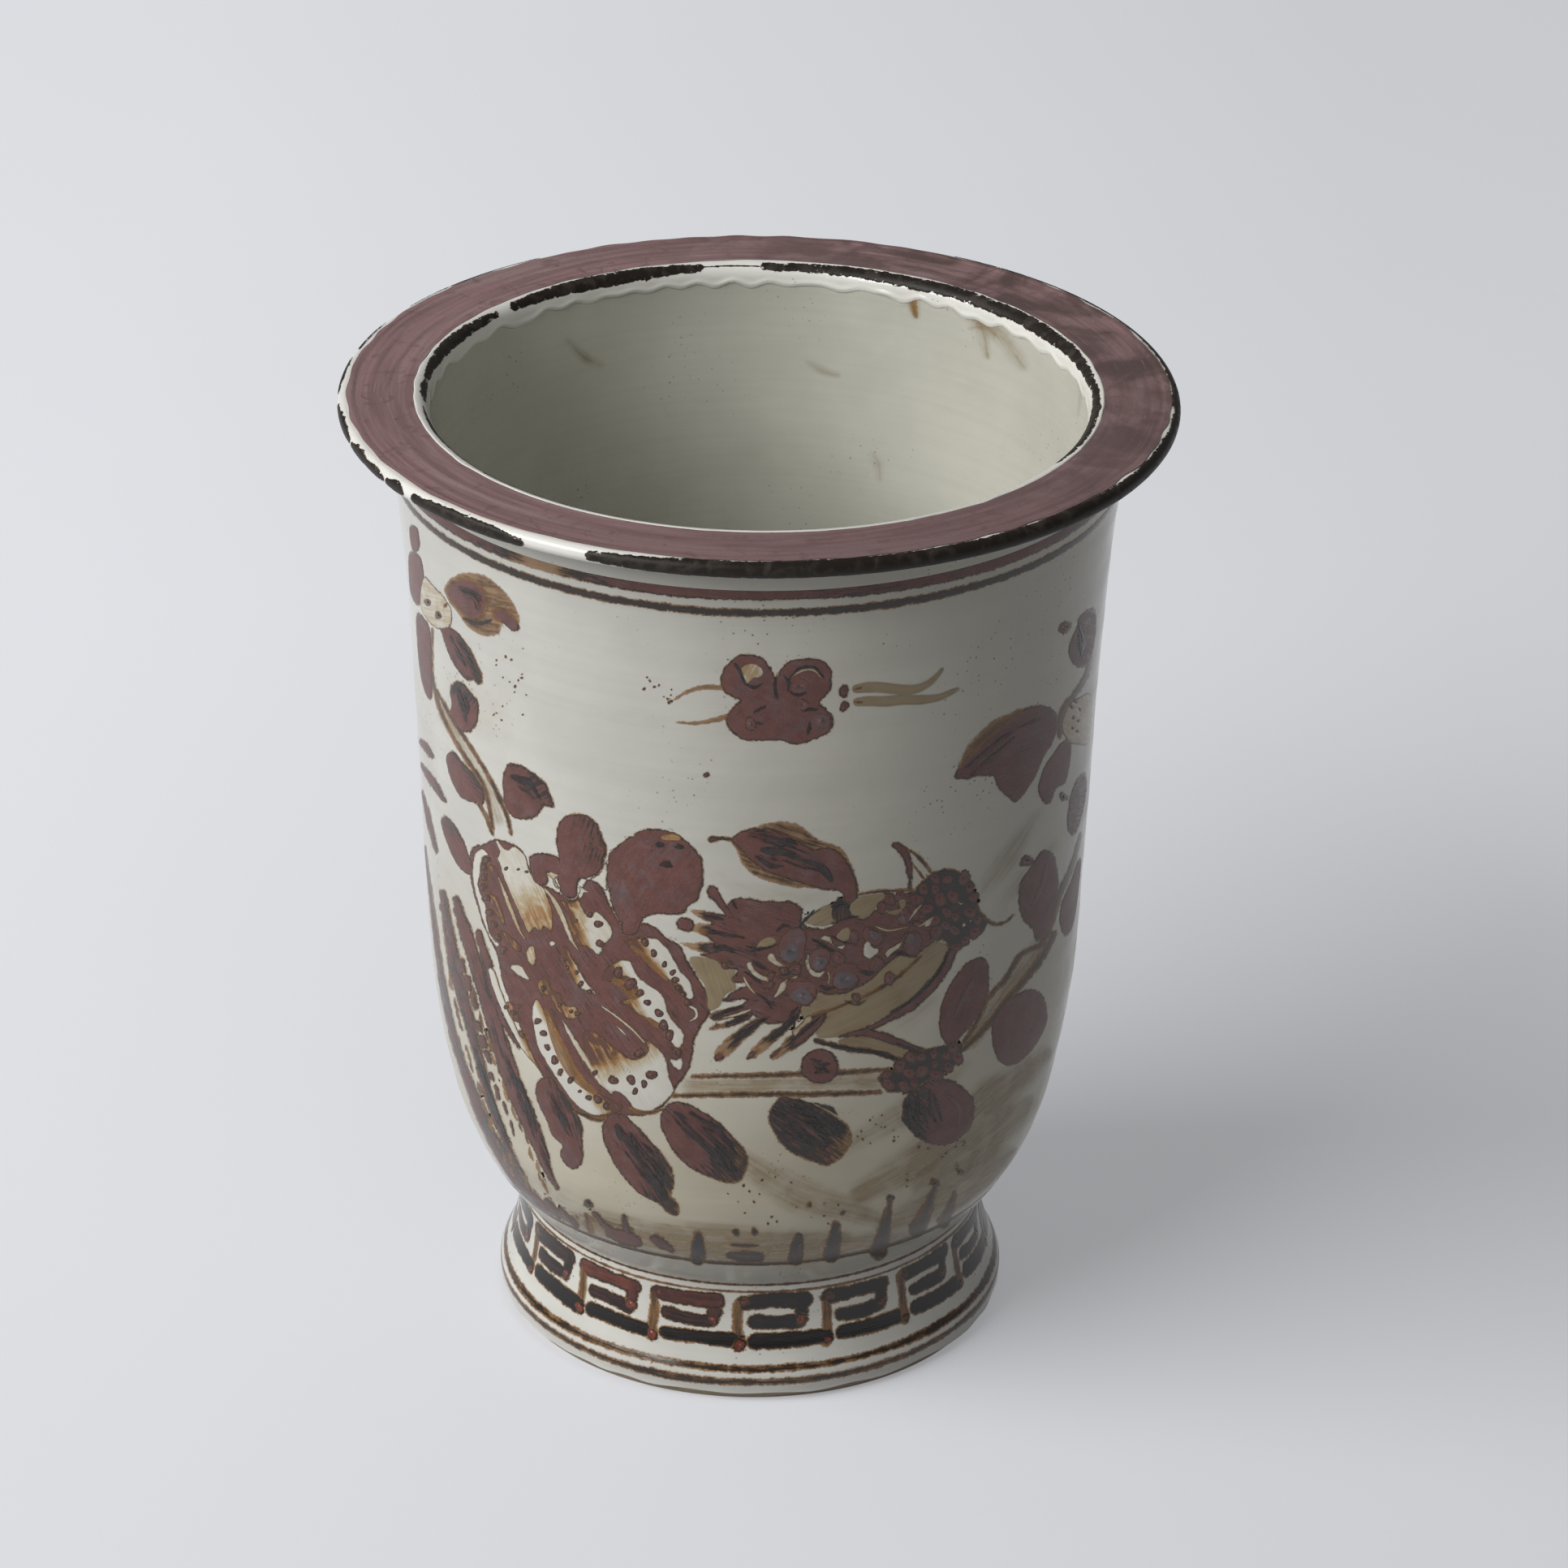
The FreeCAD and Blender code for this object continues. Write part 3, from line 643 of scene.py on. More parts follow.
def speckle(make, size, many, low=0.0):
    """Small round specks: round the centres of cells, in patches that noise picks."""
    named = {"Vector": make.here, "Scale": MM / many}
    near = make.node("TexVoronoi", out="Distance", named=named)
    patch = make.step(make.noise(38.0, 3.0), 0.46 + low, 0.62 + low)
    return make.times(make.step(near, size / many, size / many * 0.45), patch)


def glaze_finish(name="wall_glaze", base="glaze", streak=1.0, specks=1.0, toast_and_side_shade=1.0):
    """Glossy off-white glaze: cloudy tone, faint level throwing streaks, the right side toasted warmer by the
    kiln and darkened as painted shade, iron specks and pinholes in clusters, fine waviness."""
    make = Finish(name)
    round_pot = polar(make)
    cloud = make.noise(46.0, 4.0)
    level = make.noise(1.0, 4.0, make.stretch((9.0, 60.0, 420.0), round_pot))
    hue = make.mix(make.step(cloud, 0.3, 0.72), shade(base, 0.93), shade(base, 1.05))
    hue = make.mix(make.step(level, 0.35, 0.75, 0.0, 0.35 * streak), hue, shade(base, 0.78))
    x, y, z = make.parts(make.here)
    # Painted shade: the right side, away from the light, is made darker and warmer; partly kiln toasting.
    fired = make.step(make.less(x, make.times(y, 0.35)), -0.06, 0.14, 0.0, 0.5 * toast_and_side_shade)
    hue = make.mix(fired, hue, shade(base, (0.76, 0.72, 0.605)))
    low = make.times(make.step(z, 0.21, 0.08, 0.0, toast_and_side_shade), make.step(z, 0.058, 0.085))
    hue = make.mix(make.times(low, 0.6), hue, shade(base, (0.88, 0.79, 0.585)))
    warm = make.step(make.plus(make.noise(70.0, 5.0, bend=0.6), make.times(low, 0.14)), 0.52, 0.85, 0.0,
                     0.5 * toast_and_side_shade)
    hue = make.mix(warm, hue, (0.43, 0.37, 0.27, 1))
    fleck = make.times(speckle(make, 0.55, 2.8, 0.05), 0.8 * specks)
    hue = make.mix(fleck, hue, (0.06, 0.045, 0.03, 1))
    pin = speckle(make, 0.16, 1.6, 0.06)
    hue = make.mix(make.times(pin, 0.6 * specks), hue, (0.12, 0.10, 0.07, 1))
    waves = make.plus(make.times(make.noise(7.0, 2.0), 0.8), make.times(level, 0.5))
    rise = make.less(waves, make.times(pin, 0.5))
    gloss = make.step(make.noise(12.0, 5.0), 0.25, 0.8, 0.11, 0.24)
    return make.wear(Base_Color=hue, Roughness=gloss, IOR=1.5, Normal=make.bump(rise, 0.22, 0.0006))


def pigment_finish(name, *stops, satin=0.36, haze=0.48):
    """Brushed pigment: how thick it lies goes from nothing at a ragged edge to the stroke's load inside,
    less what the hairs streaked away. The thickness picks the colour: thin amber, then black, then mauve."""
    make = Finish(name)
    edge, load, dark = make.mark()
    deep = make.ragged(edge, (3.2, 3.0, 1.7), (0.9, 2.0, 1.3))
    hairs = make.step(make.hairs(0.10, 1.1, 3.0), 0.34, 0.66)
    pools = make.step(make.noise(5.5, 4.0, bend=0.5), 0.3, 0.7)
    lost = make.times(dark, make.plus(hairs, make.times(pools, 0.6)))
    thick = make.times(make.step(deep, -0.3, 1.25), make.less(load, lost))
    hue = make.ramp(make.times(thick, 0.8), *stops)
    bloom = make.times(
        make.step(make.noise(9.0, 5.0, bend=1.2), 0.46, 0.7, 0.0, haze), make.step(thick, 0.55, 0.8))
    hue = make.mix(bloom, hue, tint("lavender"))
    fine = make.times(make.step(make.noise(0.7, 2.0), 0.3, 0.7, 0.85, 1.12),
                      make.step(make.noise(6.0, 4.0), 0.3, 0.7, 0.86, 1.12))
    hue = make.mix(1.0, hue, make.node("CombineXYZ", fine, fine, fine), "MULTIPLY")
    seen = make.times(make.step(deep, -0.4, 0.3), make.step(thick, 0.0, 0.34, 0.62, 1.0))
    rough = make.step(thick, 0.25, 0.7, 0.16, satin)
    rise = make.plus(thick, make.times(make.noise(0.8, 2.0), 0.3))
    return make.wear(Base_Color=hue, Roughness=rough, IOR=1.5, Alpha=seen,
                     Normal=make.bump(rise, 0.25, 0.0004))


def once(wire):
    """The material named after the function that wires it, wired the first time that it is asked for."""
    return bpy.data.materials.get(wire.__name__) or wire(wire.__name__)


def brushed_mauve(name):
    """The painting's pigment, from thin to thick."""
    return pigment_finish(
        name, (0.0, shade("amber", 1.2)), (0.10, shade("amber", 0.75)), (0.18, shade("amber", 0.28)),
        (0.25, shade("black", 1.1)), (0.37, shade("black", 1.5)), (0.46, shade("mauve", 0.86)),
        (0.82, shade("mauve", 1.1)), (1.0, tint("lavender")))


def brushed_fret(name):
    """The fret's pigment: amber, black and, where it is thickest, rust."""
    return pigment_finish(
        name, (0.0, (0.45, 0.27, 0.10, 1)), (0.13, shade("amber", 0.8)), (0.26, shade("amber", 0.3)),
        (0.38, shade("black", 0.6)), (0.62, shade("black", 0.35)), (0.74, shade("rust", 0.55)),
        (0.86, tint("rust")), (1.0, shade("rust", 1.25)), satin=0.2, haze=0.06)


def petal_white(name):
    """Bare glaze left between strokes: pale, with amber brush streaks by its load and a thin dark edge."""
    make = Finish(name)
    edge, load = make.mark()[:2]
    deep = make.ragged(edge, (1.8, 4.0, 1.5))
    hairs = make.hairs(0.07, 0.85, 3.0)
    cloud = make.plus(make.times(hairs, 0.55), make.times(make.noise(4.5, 4.0, bend=0.8), 0.45))
    stained = make.times(make.step(cloud, 0.36, 0.62, 0.3, 1.0), load)
    hue = make.ramp(stained, (0.0, shade("glaze", 1.04)), (0.2, (0.415, 0.335, 0.21, 1)),
                    (0.5, tint("amber")), (0.8, shade("amber", 0.4)), (1.0, shade("mauve", 0.8)))
    rim = make.step(deep, 0.0, 0.75)
    hue = make.mix(rim, shade("amber", 0.28), hue)
    seen = make.step(deep, -0.3, 0.1)
    return make.wear(Base_Color=hue, Roughness=0.17, IOR=1.5, Alpha=seen,
                     Normal=make.bump(make.noise(2.0, 2.0), 0.1, 0.0004))


def dark_vein(name):
    """Black brush streaks over the mauve, broken by the brush's hairs, with no halo."""
    make = Finish(name)
    edge, dark = make.mark()[::2]
    deep = make.ragged(edge, (2.2, 4.0, 1.7))
    hairs = make.step(make.hairs(0.07, 0.75, 4.0), 0.44, 0.56)
    seen = make.times(make.step(deep, 0.0, 0.9), make.less(1.0, make.times(hairs, dark)))
    hue = make.mix(make.step(make.noise(4.0, 4.0), 0.35, 0.65), shade("black", 0.8),
                   (0.034, 0.028, 0.027, 1))
    return make.wear(Base_Color=hue, Roughness=0.22, IOR=1.5, Alpha=seen)


def thin_wash(name, pale=(0.45, 0.36, 0.225, 1), deep=(0.33, 0.24, 0.135, 1), cover=0.85, soft=4.6):
    """Diluted pigment swept on with a broad brush: tan, streaky and mostly clear."""
    make = Finish(name)
    edge, load = make.mark()[:2]
    hairs = make.step(make.hairs(0.04, 0.8, 4.0), 0.3, 0.74, 0.42, 1.0)
    cloud = make.step(make.noise(14.0, 5.0, bend=0.5), 0.3, 0.72, 0.35, 1.0)
    body = make.times(make.step(edge, -0.9, soft), make.times(load, make.times(hairs, cloud)))
    hue = make.mix(make.times(hairs, cloud), pale, deep)
    return make.wear(Base_Color=hue, Roughness=0.2, IOR=1.5,
                     Alpha=make.maths("MINIMUM", make.times(body, cover), 0.94))


def tan_wash(name):
    """The same wash laid on thickly: a dull tan that hides most of the glaze."""
    return thin_wash(name, (0.335, 0.262, 0.155, 1), (0.205, 0.147, 0.076, 1), 2.6, 1.0)


def dark_enamel(name):
    """Black-brown enamel dabbed on lip and mouth: ragged, chipped to the white below, and worn brown
    where it is thin."""
    make = Finish(name)
    edge = make.mark()[0]
    deep = make.ragged(edge, (3.4, 4.0, 2.6), (1.2, 3.0, 1.1))
    chip = make.step(make.noise(2.3, 4.0, bend=0.4), 0.60, 0.63)
    chip = make.times(chip, make.step(deep, 1.5, 0.4))
    worn = make.step(make.noise(5.0, 5.0, bend=0.6), 0.45, 0.7)
    hue = make.mix(worn, shade("black", 0.75), (0.04, 0.032, 0.024, 1))
    hue = make.mix(make.step(deep, 0.35, -0.1, 0.0, 0.7), hue, (0.16, 0.12, 0.08, 1))
    seen = make.times(make.step(deep, -0.12, 0.12), make.less(1.0, chip))
    rise = make.plus(make.step(deep, 0.0, 0.8), make.times(make.noise(1.0, 3.0), 0.5))
    return make.wear(Base_Color=hue, Roughness=make.step(worn, 0.0, 1.0, 0.42, 0.62), IOR=1.4,
                     Specular_IOR_Level=0.3, Alpha=seen, Normal=make.bump(rise, 0.4, 0.0005))


def clay_finish(name, base, grit=1.0):
    """Fired clay: mottled buff with level tool marks, dark grit and open pores."""
    make = Finish(name)
    mottle = make.noise(9.0, 6.0)
    tool = make.noise(1.0, 3.0, make.stretch((12.0, 12.0, 900.0)))
    hue = make.mix(make.step(mottle, 0.3, 0.7), shade("clay", base * 0.78), shade("clay", base * 1.12))
    hue = make.mix(make.step(tool, 0.4, 0.7, 0.0, 0.35), hue, shade("clay", base * 0.6))
    hue = make.mix(make.times(speckle(make, 0.4, 2.6), grit), hue, (0.05, 0.035, 0.025, 1))
    rise = make.plus(make.noise(0.9, 4.0), make.times(tool, 0.7))
    return make.wear(Base_Color=hue, Roughness=make.step(mottle, 0.2, 0.8, 0.72, 0.92),
                     Normal=make.bump(rise, 0.5, 0.0005))


def iron_finish():
    """The rim's iron coat: mauve with brushed rings round the axis, dark worn patches kept to the right side,
    a painted shade over the right front, and pale hairline scratches."""
    make = Finish("iron_glaze")
    round_pot = polar(make)
    x, y = make.parts(make.here)[:2]
    rings = make.noise(1.0, 6.0, make.stretch((22.0, 420.0, 40.0), round_pot), bend=0.3)
    sweep = make.noise(1.0, 4.0, make.stretch((16.0, 160.0, 40.0), round_pot), bend=0.4)
    hue = make.mix(make.step(rings, 0.32, 0.68), shade("iron", 0.78), shade("iron", 1.2))
    hue = make.mix(make.step(sweep, 0.45, 0.72, 0.0, 0.7), hue, (0.31, 0.215, 0.212, 1))
    # Dark patches are kept to the right side, away from the light: partly wear, partly painted shade.
    side = make.step(make.plus(x, make.times(y, 0.55)), -0.02, 0.16)
    worn = make.times(make.step(make.noise(26.0, 6.0, bend=0.8), 0.36, 0.60), side)
    hue = make.mix(make.times(worn, 0.88), hue, (0.07, 0.043, 0.037, 1))
    # Painted shade: the right front of the rim is darkened.
    hue = make.mix(make.step(make.less(x, y), -0.02, 0.2, 0.0, 0.4), hue, shade("iron", 0.42))
    scuff = make.step(make.noise(11.0, 8.0, bend=1.6), 0.54, 0.68, 0.0, 0.5)
    hue = make.mix(scuff, hue, (0.115, 0.068, 0.062, 1))
    scratch = make.step(
        make.noise(1.0, 4.0, make.stretch((40.0, 1300.0, 40.0), round_pot), bend=1.2), 0.64, 0.7)
    hue = make.mix(make.times(scratch, 0.35), hue, (0.42, 0.37, 0.36, 1))
    hue = make.mix(make.times(speckle(make, 0.3, 3.4, -0.05), 0.7), hue, (0.03, 0.02, 0.018, 1))
    rise = make.plus(make.times(rings, 0.8), make.noise(1.6, 3.0))
    rough = make.step(make.noise(14.0, 5.0), 0.3, 0.7, 0.34, 0.52)
    return make.wear(Base_Color=hue, Roughness=rough, IOR=1.5, Normal=make.bump(rise, 0.3, 0.0004))


def floor_finish():
    """Pale studio floor, brighter to the left and the back as painted light. Sight, gloss and glass see it
    pale;
    other light finds it dark, so the pot's far side stays dark."""
    make = Finish("pale_floor")
    path = make.tree.nodes.new("ShaderNodeLightPath").outputs
    seen = make.maths("MAXIMUM", path["Is Camera Ray"],
                      make.maths("MAXIMUM", path["Is Glossy Ray"], path["Is Transmission Ray"]))
    x, y = make.parts(make.here)[:2]
    cloud = make.step(make.noise(420.0, 4.0), 0.2, 0.8, 0.985, 1.01)
    # Painted light falloff: the floor is brighter at the left and the back, darker to the right and the front.
    across = make.node("MapRange", x, -0.32, 0.32, 1.09, 0.83)
    away = make.node("MapRange", y, -0.4, 0.6, 0.82, 1.10)
    tone_and_painted_falloff = make.times(cloud, make.times(across, away))
    glow = make.mix(1.0, shade("floor", 0.37), make.node("CombineXYZ", tone_and_painted_falloff, tone_and_painted_falloff, tone_and_painted_falloff), "MULTIPLY")
    glow = make.mix(seen, (0, 0, 0, 1), glow)
    return make.wear(Base_Color=make.mix(seen, (0.3, 0.3, 0.3, 1), shade("floor", 0.63)), Roughness=0.9,
                     Specular_IOR_Level=0.0, Emission_Color=glow, Emission_Strength=1.0)


def wall_skin():
    """The outside of the wall, from the waist to under the lip."""
    rows = node_rows("outer_glaze", 1)
    rows = rows[:np.argmax(rows[:, 0] > rows[:, 0].max() - 0.01) + 1]
    return Skin(rows, ripple=sizes().ripple * MM)


def foot_skin():
    """The outside of the glazed foot."""
    return Skin(node_rows("foot_glaze", 1), girth=FOOT_GIRTH)


def lip_skin():
    """The lip's round bead: a half circle round the rim's edge and a short flat lap on the rim's top."""
    low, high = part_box("lip_white_glaze")
    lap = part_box("rim_iron_glaze")[1].x * MM - 1.4
    half = (high.z - low.z) * MM / 2
    turn = np.linspace(-math.pi / 2, math.pi / 2, 25)
    bead = np.stack([high.x * MM - half + half * np.cos(turn), low.z * MM + half + half * np.sin(turn)], -1)
    flat = np.linspace(bead[-1, 0], lap, 8)[1:]
    return Skin(np.concatenate([bead, np.stack([flat, np.full_like(flat, high.z * MM)], -1)]),
                girth=LIP_GIRTH)


def mouth_skin():
    """The mouth's bead: a flat lap on the rim's top, a quarter circle into the mouth and a short drop
    inside."""
    low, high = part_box("mouth_white_glaze")
    bore = node_rows("mouth_white_glaze", -1)[:, 0].min()
    half = high.x * MM - bore
    turn = np.linspace(math.pi / 2, math.pi, 15)
    bead = np.stack([high.x * MM + half * np.cos(turn), high.z * MM - half + half * np.sin(turn)], -1)
    flat = np.linspace(high.x * MM + 1.2, high.x * MM, 5)[:-1]
    drop = np.linspace(bead[-1, 1], low.z * MM - 2.4, 8)[1:]
    return Skin(np.concatenate([np.stack([flat, np.full_like(flat, high.z * MM)], -1), bead,
                                np.stack([np.full_like(drop, bore), drop], -1)]), girth=MOUTH_GIRTH)


def inside_skin():
    """The inside: from behind the mouth's bead down the wall and over the floor to the drain hole."""
    rows = node_rows("inner_glaze", -1)
    hole = rows[:, 0].min()
    wall = rows[rows[:, 0] > hole + 5][::-1]
    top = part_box("mouth_white_glaze")[0].z * MM + 5.5
    head = [[wall[0, 0] + 0.12, top]]
    floor = np.linspace(wall[-1, 0], hole, 9)[1:]
    return Skin(np.concatenate([head, wall, np.stack([floor, np.full_like(floor, wall[-1, 1])], -1)]),
                girth=INSIDE_GIRTH)


def sheets(count):
    """Fresh sheets to paint the wall on."""
    return [Paint(wall_skin()) for _ in range(count)]


class POT_OT_clay(bpy.types.Operator):
    """Give the thrown sections and their luting slip a fired clay finish."""

    bl_idname = "pot.clay"
    bl_label = "Fire the clay"

    def execute(self, context):
        fired, slip = clay_finish("stoneware", 1.0), clay_finish("luting_slip", 1.25, 0.3)
        for name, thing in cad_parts.items():
            finish = slip if "slip" in name else fired
            for place in range(len(thing.material_slots)):
                thing.material_slots[place].material = finish
        return {"FINISHED"}


class POT_OT_coats(bpy.types.Operator):
    """Lay the glaze on the wall, the foot and the inside."""

    bl_idname = "pot.coats"
    bl_label = "Glaze wall, foot and inside"

    def execute(self, context):
        glaze = glaze_finish(streak=0.5)
        wall = coat("glazed_wall", wall_skin(), thick=0.5, turns=384, alongs=200,
                    finish=glaze)
        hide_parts("outer_glaze")

        def drips(turn, share, along):
            """The foot's glaze ends in a soft uneven roll."""
            return 0.12 * np.exp(-(along / 1.2) ** 2) * (1 + wavy(turn, 5, 40, 9))
        foot = coat("glazed_foot", foot_skin(), thick=0.5, turns=288, alongs=72,
                    finish=glaze_finish("foot_glaze", streak=0.5, toast_and_side_shade=0.0),
                    start=0.5 + 0.5 * wavy(around(288), 6, 36, 7), lift=drips)
        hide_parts("foot_glaze")
        # The inside glaze is a darker copy of the wall's: partly greyer glaze, partly painted shade in the
        # hollow.
        inside = coat("glazed_inside", inside_skin(), thick=0.5, turns=288, alongs=150,
                      finish=glaze_finish("inside_glaze", "inside", streak=0.55, specks=0.6, toast_and_side_shade=0.3))
        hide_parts("inner_glaze")
        stain, spot = Paint(inside_skin(), in_mouth), Paint(inside_skin(), in_mouth)
        stains = ((1.5, 22, (1108, 362, 1122, 368, 1128, 388)), (1.3, 16, (1124, 366, 1140, 364, 1156, 362)),
                  (1.2, 18, (1206, 396, 1212, 415, 1216, 438)), (1.0, 14, (1196, 404, 1212, 402, 1228, 408)),
                  (0.9, 14, (995, 446, 1012, 456, 1032, 462)), (1.1, 8, (1330, 470, 1331, 482, 1328, 512)),
                  (0.5, 30, (1180, 380, 1230, 410, 1260, 450)), (0.45, 20, (700, 420, 720, 440, 740, 450)),
                  (0.5, 16, (1075, 560, 1082, 572, 1084, 590)))
        for load, width, path in stains:
            stain.line(path, width * np.array([0.5, 1.0, 0.6]), load=load * 2.2, dark=0.2, tier=1)
            if load > 1.25:
                spot.line(path, width * np.array([0.25, 0.5, 0.3]), load=0.14, dark=0.1, tier=2)
        stain.done("inside_stains", once(thin_wash), repeat=False)
        spot.done("inside_spots", once(brushed_mauve), repeat=False)
        return {"FINISHED"}


class POT_OT_rim(bpy.types.Operator):
    """Lay the iron coat on the rim and the white beads on lip and mouth."""

    bl_idname = "pot.rim"
    bl_label = "Coat the rim, lip and mouth"

    def execute(self, context):
        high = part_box("rim_iron_glaze")[1]
        bore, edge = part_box("mouth_white_glaze")[1].x * MM, high.x * MM
        bead = lip_skin()
        lap = [glide(bead.marks, bead.rows[:, k], np.linspace(9.6, 12.0, 9)) for k in (0, 1)]
        lap = np.stack(lap, -1) - (0, 0.06)
        rim = np.linspace(edge - 1.2, bore, 14)
        flat = Skin(np.concatenate([lap, np.stack([rim, np.full_like(rim, high.z * MM)], -1)]),
                    girth=RIM_GIRTH)

        def brushed(turn, share, along):
            """Shallow rings left by the brush, never above the coat's own height."""
            rings = wavy(turn, 3, 12) * np.sin(along * 0.9 + 2 * np.sin(turn))
            return -0.05 * (1 + rings) * np.sin(math.pi * share)
        turn = around(360)
        top = coat("iron_rim", flat, thick=0.6, turns=360, alongs=64,
                   finish=iron_finish(), start=0.9 + 0.6 * wavy(turn, 21, 60, 7), lift=brushed)
        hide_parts("rim_iron_glaze")

        white = glaze_finish("white_glaze", "white", streak=0.5, specks=0.7, toast_and_side_shade=0.2)

        def worn(turn, share, along):
            """The lip is a little thin here and there, and its inner end lies under the iron coat."""
            thin = 0.16 * (1 + wavy(turn, 11, 30)) * np.sin(math.pi * share)
            return -0.22 - thin - 0.16 * np.clip((along - 7) / 3, 0, 1)
        lip = coat("lip_bead", bead, thick=0.9, turns=360, alongs=56, finish=white,
                   stop=np.full_like(turn, bead.reach - 1.4), lift=worn)
        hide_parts("lip_white_glaze")

        mouth = mouth_skin()
        run = sizes().scallop * MM

        def swollen(turn, share, along):
            """The bead thickens to a roll above its lower edge and thins to nothing at both ends."""
            roll = 0.35 * np.exp(-((share - 0.86) / 0.09) ** 2) * (1 + 0.6 * wavy(turn, 33, 60, 18))
            ends = (0.45 * np.clip((share - 0.95) / 0.05, 0, 1) ** 2
                    + 0.3 * np.clip((0.05 - share) / 0.05, 0, 1) ** 2)
            return roll - 0.22 - ends
        ring = coat("mouth_bead", mouth, thick=0.9, turns=360, alongs=56, finish=white,
                    start=1.2 + 0.35 * wavy(turn, 31, 60, 8),
                    stop=mouth.reach - 4.9 + run * wavy(turn, 32, 62, 16), lift=swollen)
        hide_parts("mouth_white_glaze")
        return {"FINISHED"}


def scatter(sheet, outline, count, seed, low, high, load, tier, spread):
    """Dabs of the brush strewn inside an outline: seeded picks, each kept if no kept dab lies too near."""
    dice = np.random.default_rng(seed)
    corner = np.asarray(outline, float).reshape(-1, 2)
    spot = dice.uniform(corner.min(0), corner.max(0), (count * 12, 2))
    spot = spot[signed(spot, corner) > 1.5]
    size = dice.uniform(low, high, len(spot))
    kept = []
    for place in range(len(spot)):
        near = np.hypot(*(spot[kept] - spot[place]).T) < size[place] * spread if kept else np.zeros(1)
        if not near.any() and len(kept) < count:
            kept.append(place)
            sheet.dot(spot[place], size[place], load=load * dice.uniform(0.85, 1.15), dark=0.2, tier=tier)


def beads(sheet, places, load, tier):
    """A row of touches given as x, y and radius in turn."""
    for x, y, radius in np.reshape(places, (-1, 3)):
        sheet.dot((x, y), radius, load=load, dark=0.15, tier=tier)


def leaf(sheet, outline, load=0.95, dark=0.3, fade=None, veins=(), glow=(), tier=1, lean=None):
    """A leaf: thick inside, thinned to amber at one end, with black brush streaks and thick pale ones."""
    sheet.blob(outline, load, dark, tier, lean=lean, fade=fade and (fade[0], fade[1] * 0.6))
    for width, *path in veins:
        sheet.vein(path, width * np.array([1.4, 3.4, 3.2, 1.3]), dark=0.95, tier=tier + 3)
    for width, *path in glow:
        sheet.line(path, width * np.array([0.6, 1.0, 0.6]), load=1.2, dark=0.15, tier=tier + 1)


class POT_OT_rings(bpy.types.Operator):
    """Paint the lines that were drawn on the turning wheel."""

    bl_idname = "pot.rings"
    bl_label = "Paint the rings"

    def execute(self, context):
        mauve = once(brushed_mauve)
        wall = Paint(wall_skin(), look=None, unit=1.0)
        bare = on_wall(wall.skin, (660, 696))[0, 0] / GIRTH % TURN

        def upper(turn):
            """Thick paint but for one worn amber stretch."""
            return 0.86 - 0.66 * np.exp(-((turn - bare) / 0.13) ** 2) + 0.12 * wavy(turn, 8, 9, 1)
        wall.band(height=344.0, width=4.9, load=upper, dark=0.25, seed=1, waver=0.10)
        wall.band(height=337.0, width=3.4, load=0.52, dark=0.12, seed=2, waver=0.10)
        wall.band(height=61.6, width=2.9, load=0.42, dark=0.1, seed=3, waver=0.2)
        wall.done("wall_rings", mauve, repeat=False)
        foot = Paint(foot_skin(), look=None, unit=1.0)
        foot.band(height=45.3, width=1.1, load=0.4, dark=0.1, seed=4, waver=0.2)
        foot.band(height=42.4, width=1.2, load=0.3, dark=0.1, seed=7, waver=0.2)
        foot.band(height=13.4, width=3.0, load=0.46, dark=0.2, seed=5, waver=0.15)
        foot.band(height=8.6, width=3.0, load=0.46, dark=0.2, seed=6, waver=0.15)
        foot.done("foot_rings", mauve, repeat=False)
        return {"FINISHED"}


class POT_OT_fret(bpy.types.Operator):
    """Paint the key fret round the foot, each key of five strokes and two blots."""

    bl_idname = "pot.fret"
    bl_label = "Paint the fret"

    def execute(self, context):
        keys = sizes().fret_keys
        foot = Paint(foot_skin(), look=None, unit=1.0)
        pitch = TURN * foot.skin.girth / keys
        share = pitch / 32.5
        dice = np.random.default_rng(14)
        for key in range(keys):
            start = math.radians(-2.3) * foot.skin.girth + key * pitch

            def stroke(width, load, *path):
                """One bar of the key, its places given from the stem's foot."""
                path = np.reshape(path, (-1, 2)) + dice.normal(0, 0.28, (len(path) // 2, 2))
                path = np.stack([start + path[:, 0] * share, foot.skin.level(path[:, 1])], -1)
                foot.line(path, width * dice.uniform(0.85, 1.12, len(path)), load=load, dark=0.12, tier=1,
                          step=1.0)
            warm = 0.5 + 0.5 * math.cos(TURN * (key + 1.7) / keys)
            thick = 0.72 + 0.42 * warm ** 16 + dice.uniform(-0.05, 0.05)
            stroke(4.1, 0.4, 0, 37.6, 0.5, 29, 0, 20.8)
            stroke(6.9, thick, 1.2, 37.9, 12, 38.1, 24.3, 37.9)
            stroke(5.8, thick * 0.95, 23.2, 38.2, 23.4, 34, 22.8, 30.4)
            stroke(6.0, min(thick, 0.92), 22.4, 30.0, 14, 29.8, 6.2, 30.2)
            stroke(6.4, min(thick, 0.78), 6.0, 23.2, 18, 23.0, 32.2, 22.7)
            for x, z, radius in ((23, 30.3, 2.1), (0.4, 21.4, 2.0), (2.0, 38.0, 1.7)):
                if dice.uniform() < 0.92:
                    foot.dot((start + x * share, foot.skin.level(z)), radius * dice.uniform(0.95, 1.35),
                             load=0.95 + 0.3 * warm, dark=0.1)
        foot.done("foot_fret", once(brushed_fret), repeat=False)
        return {"FINISHED"}


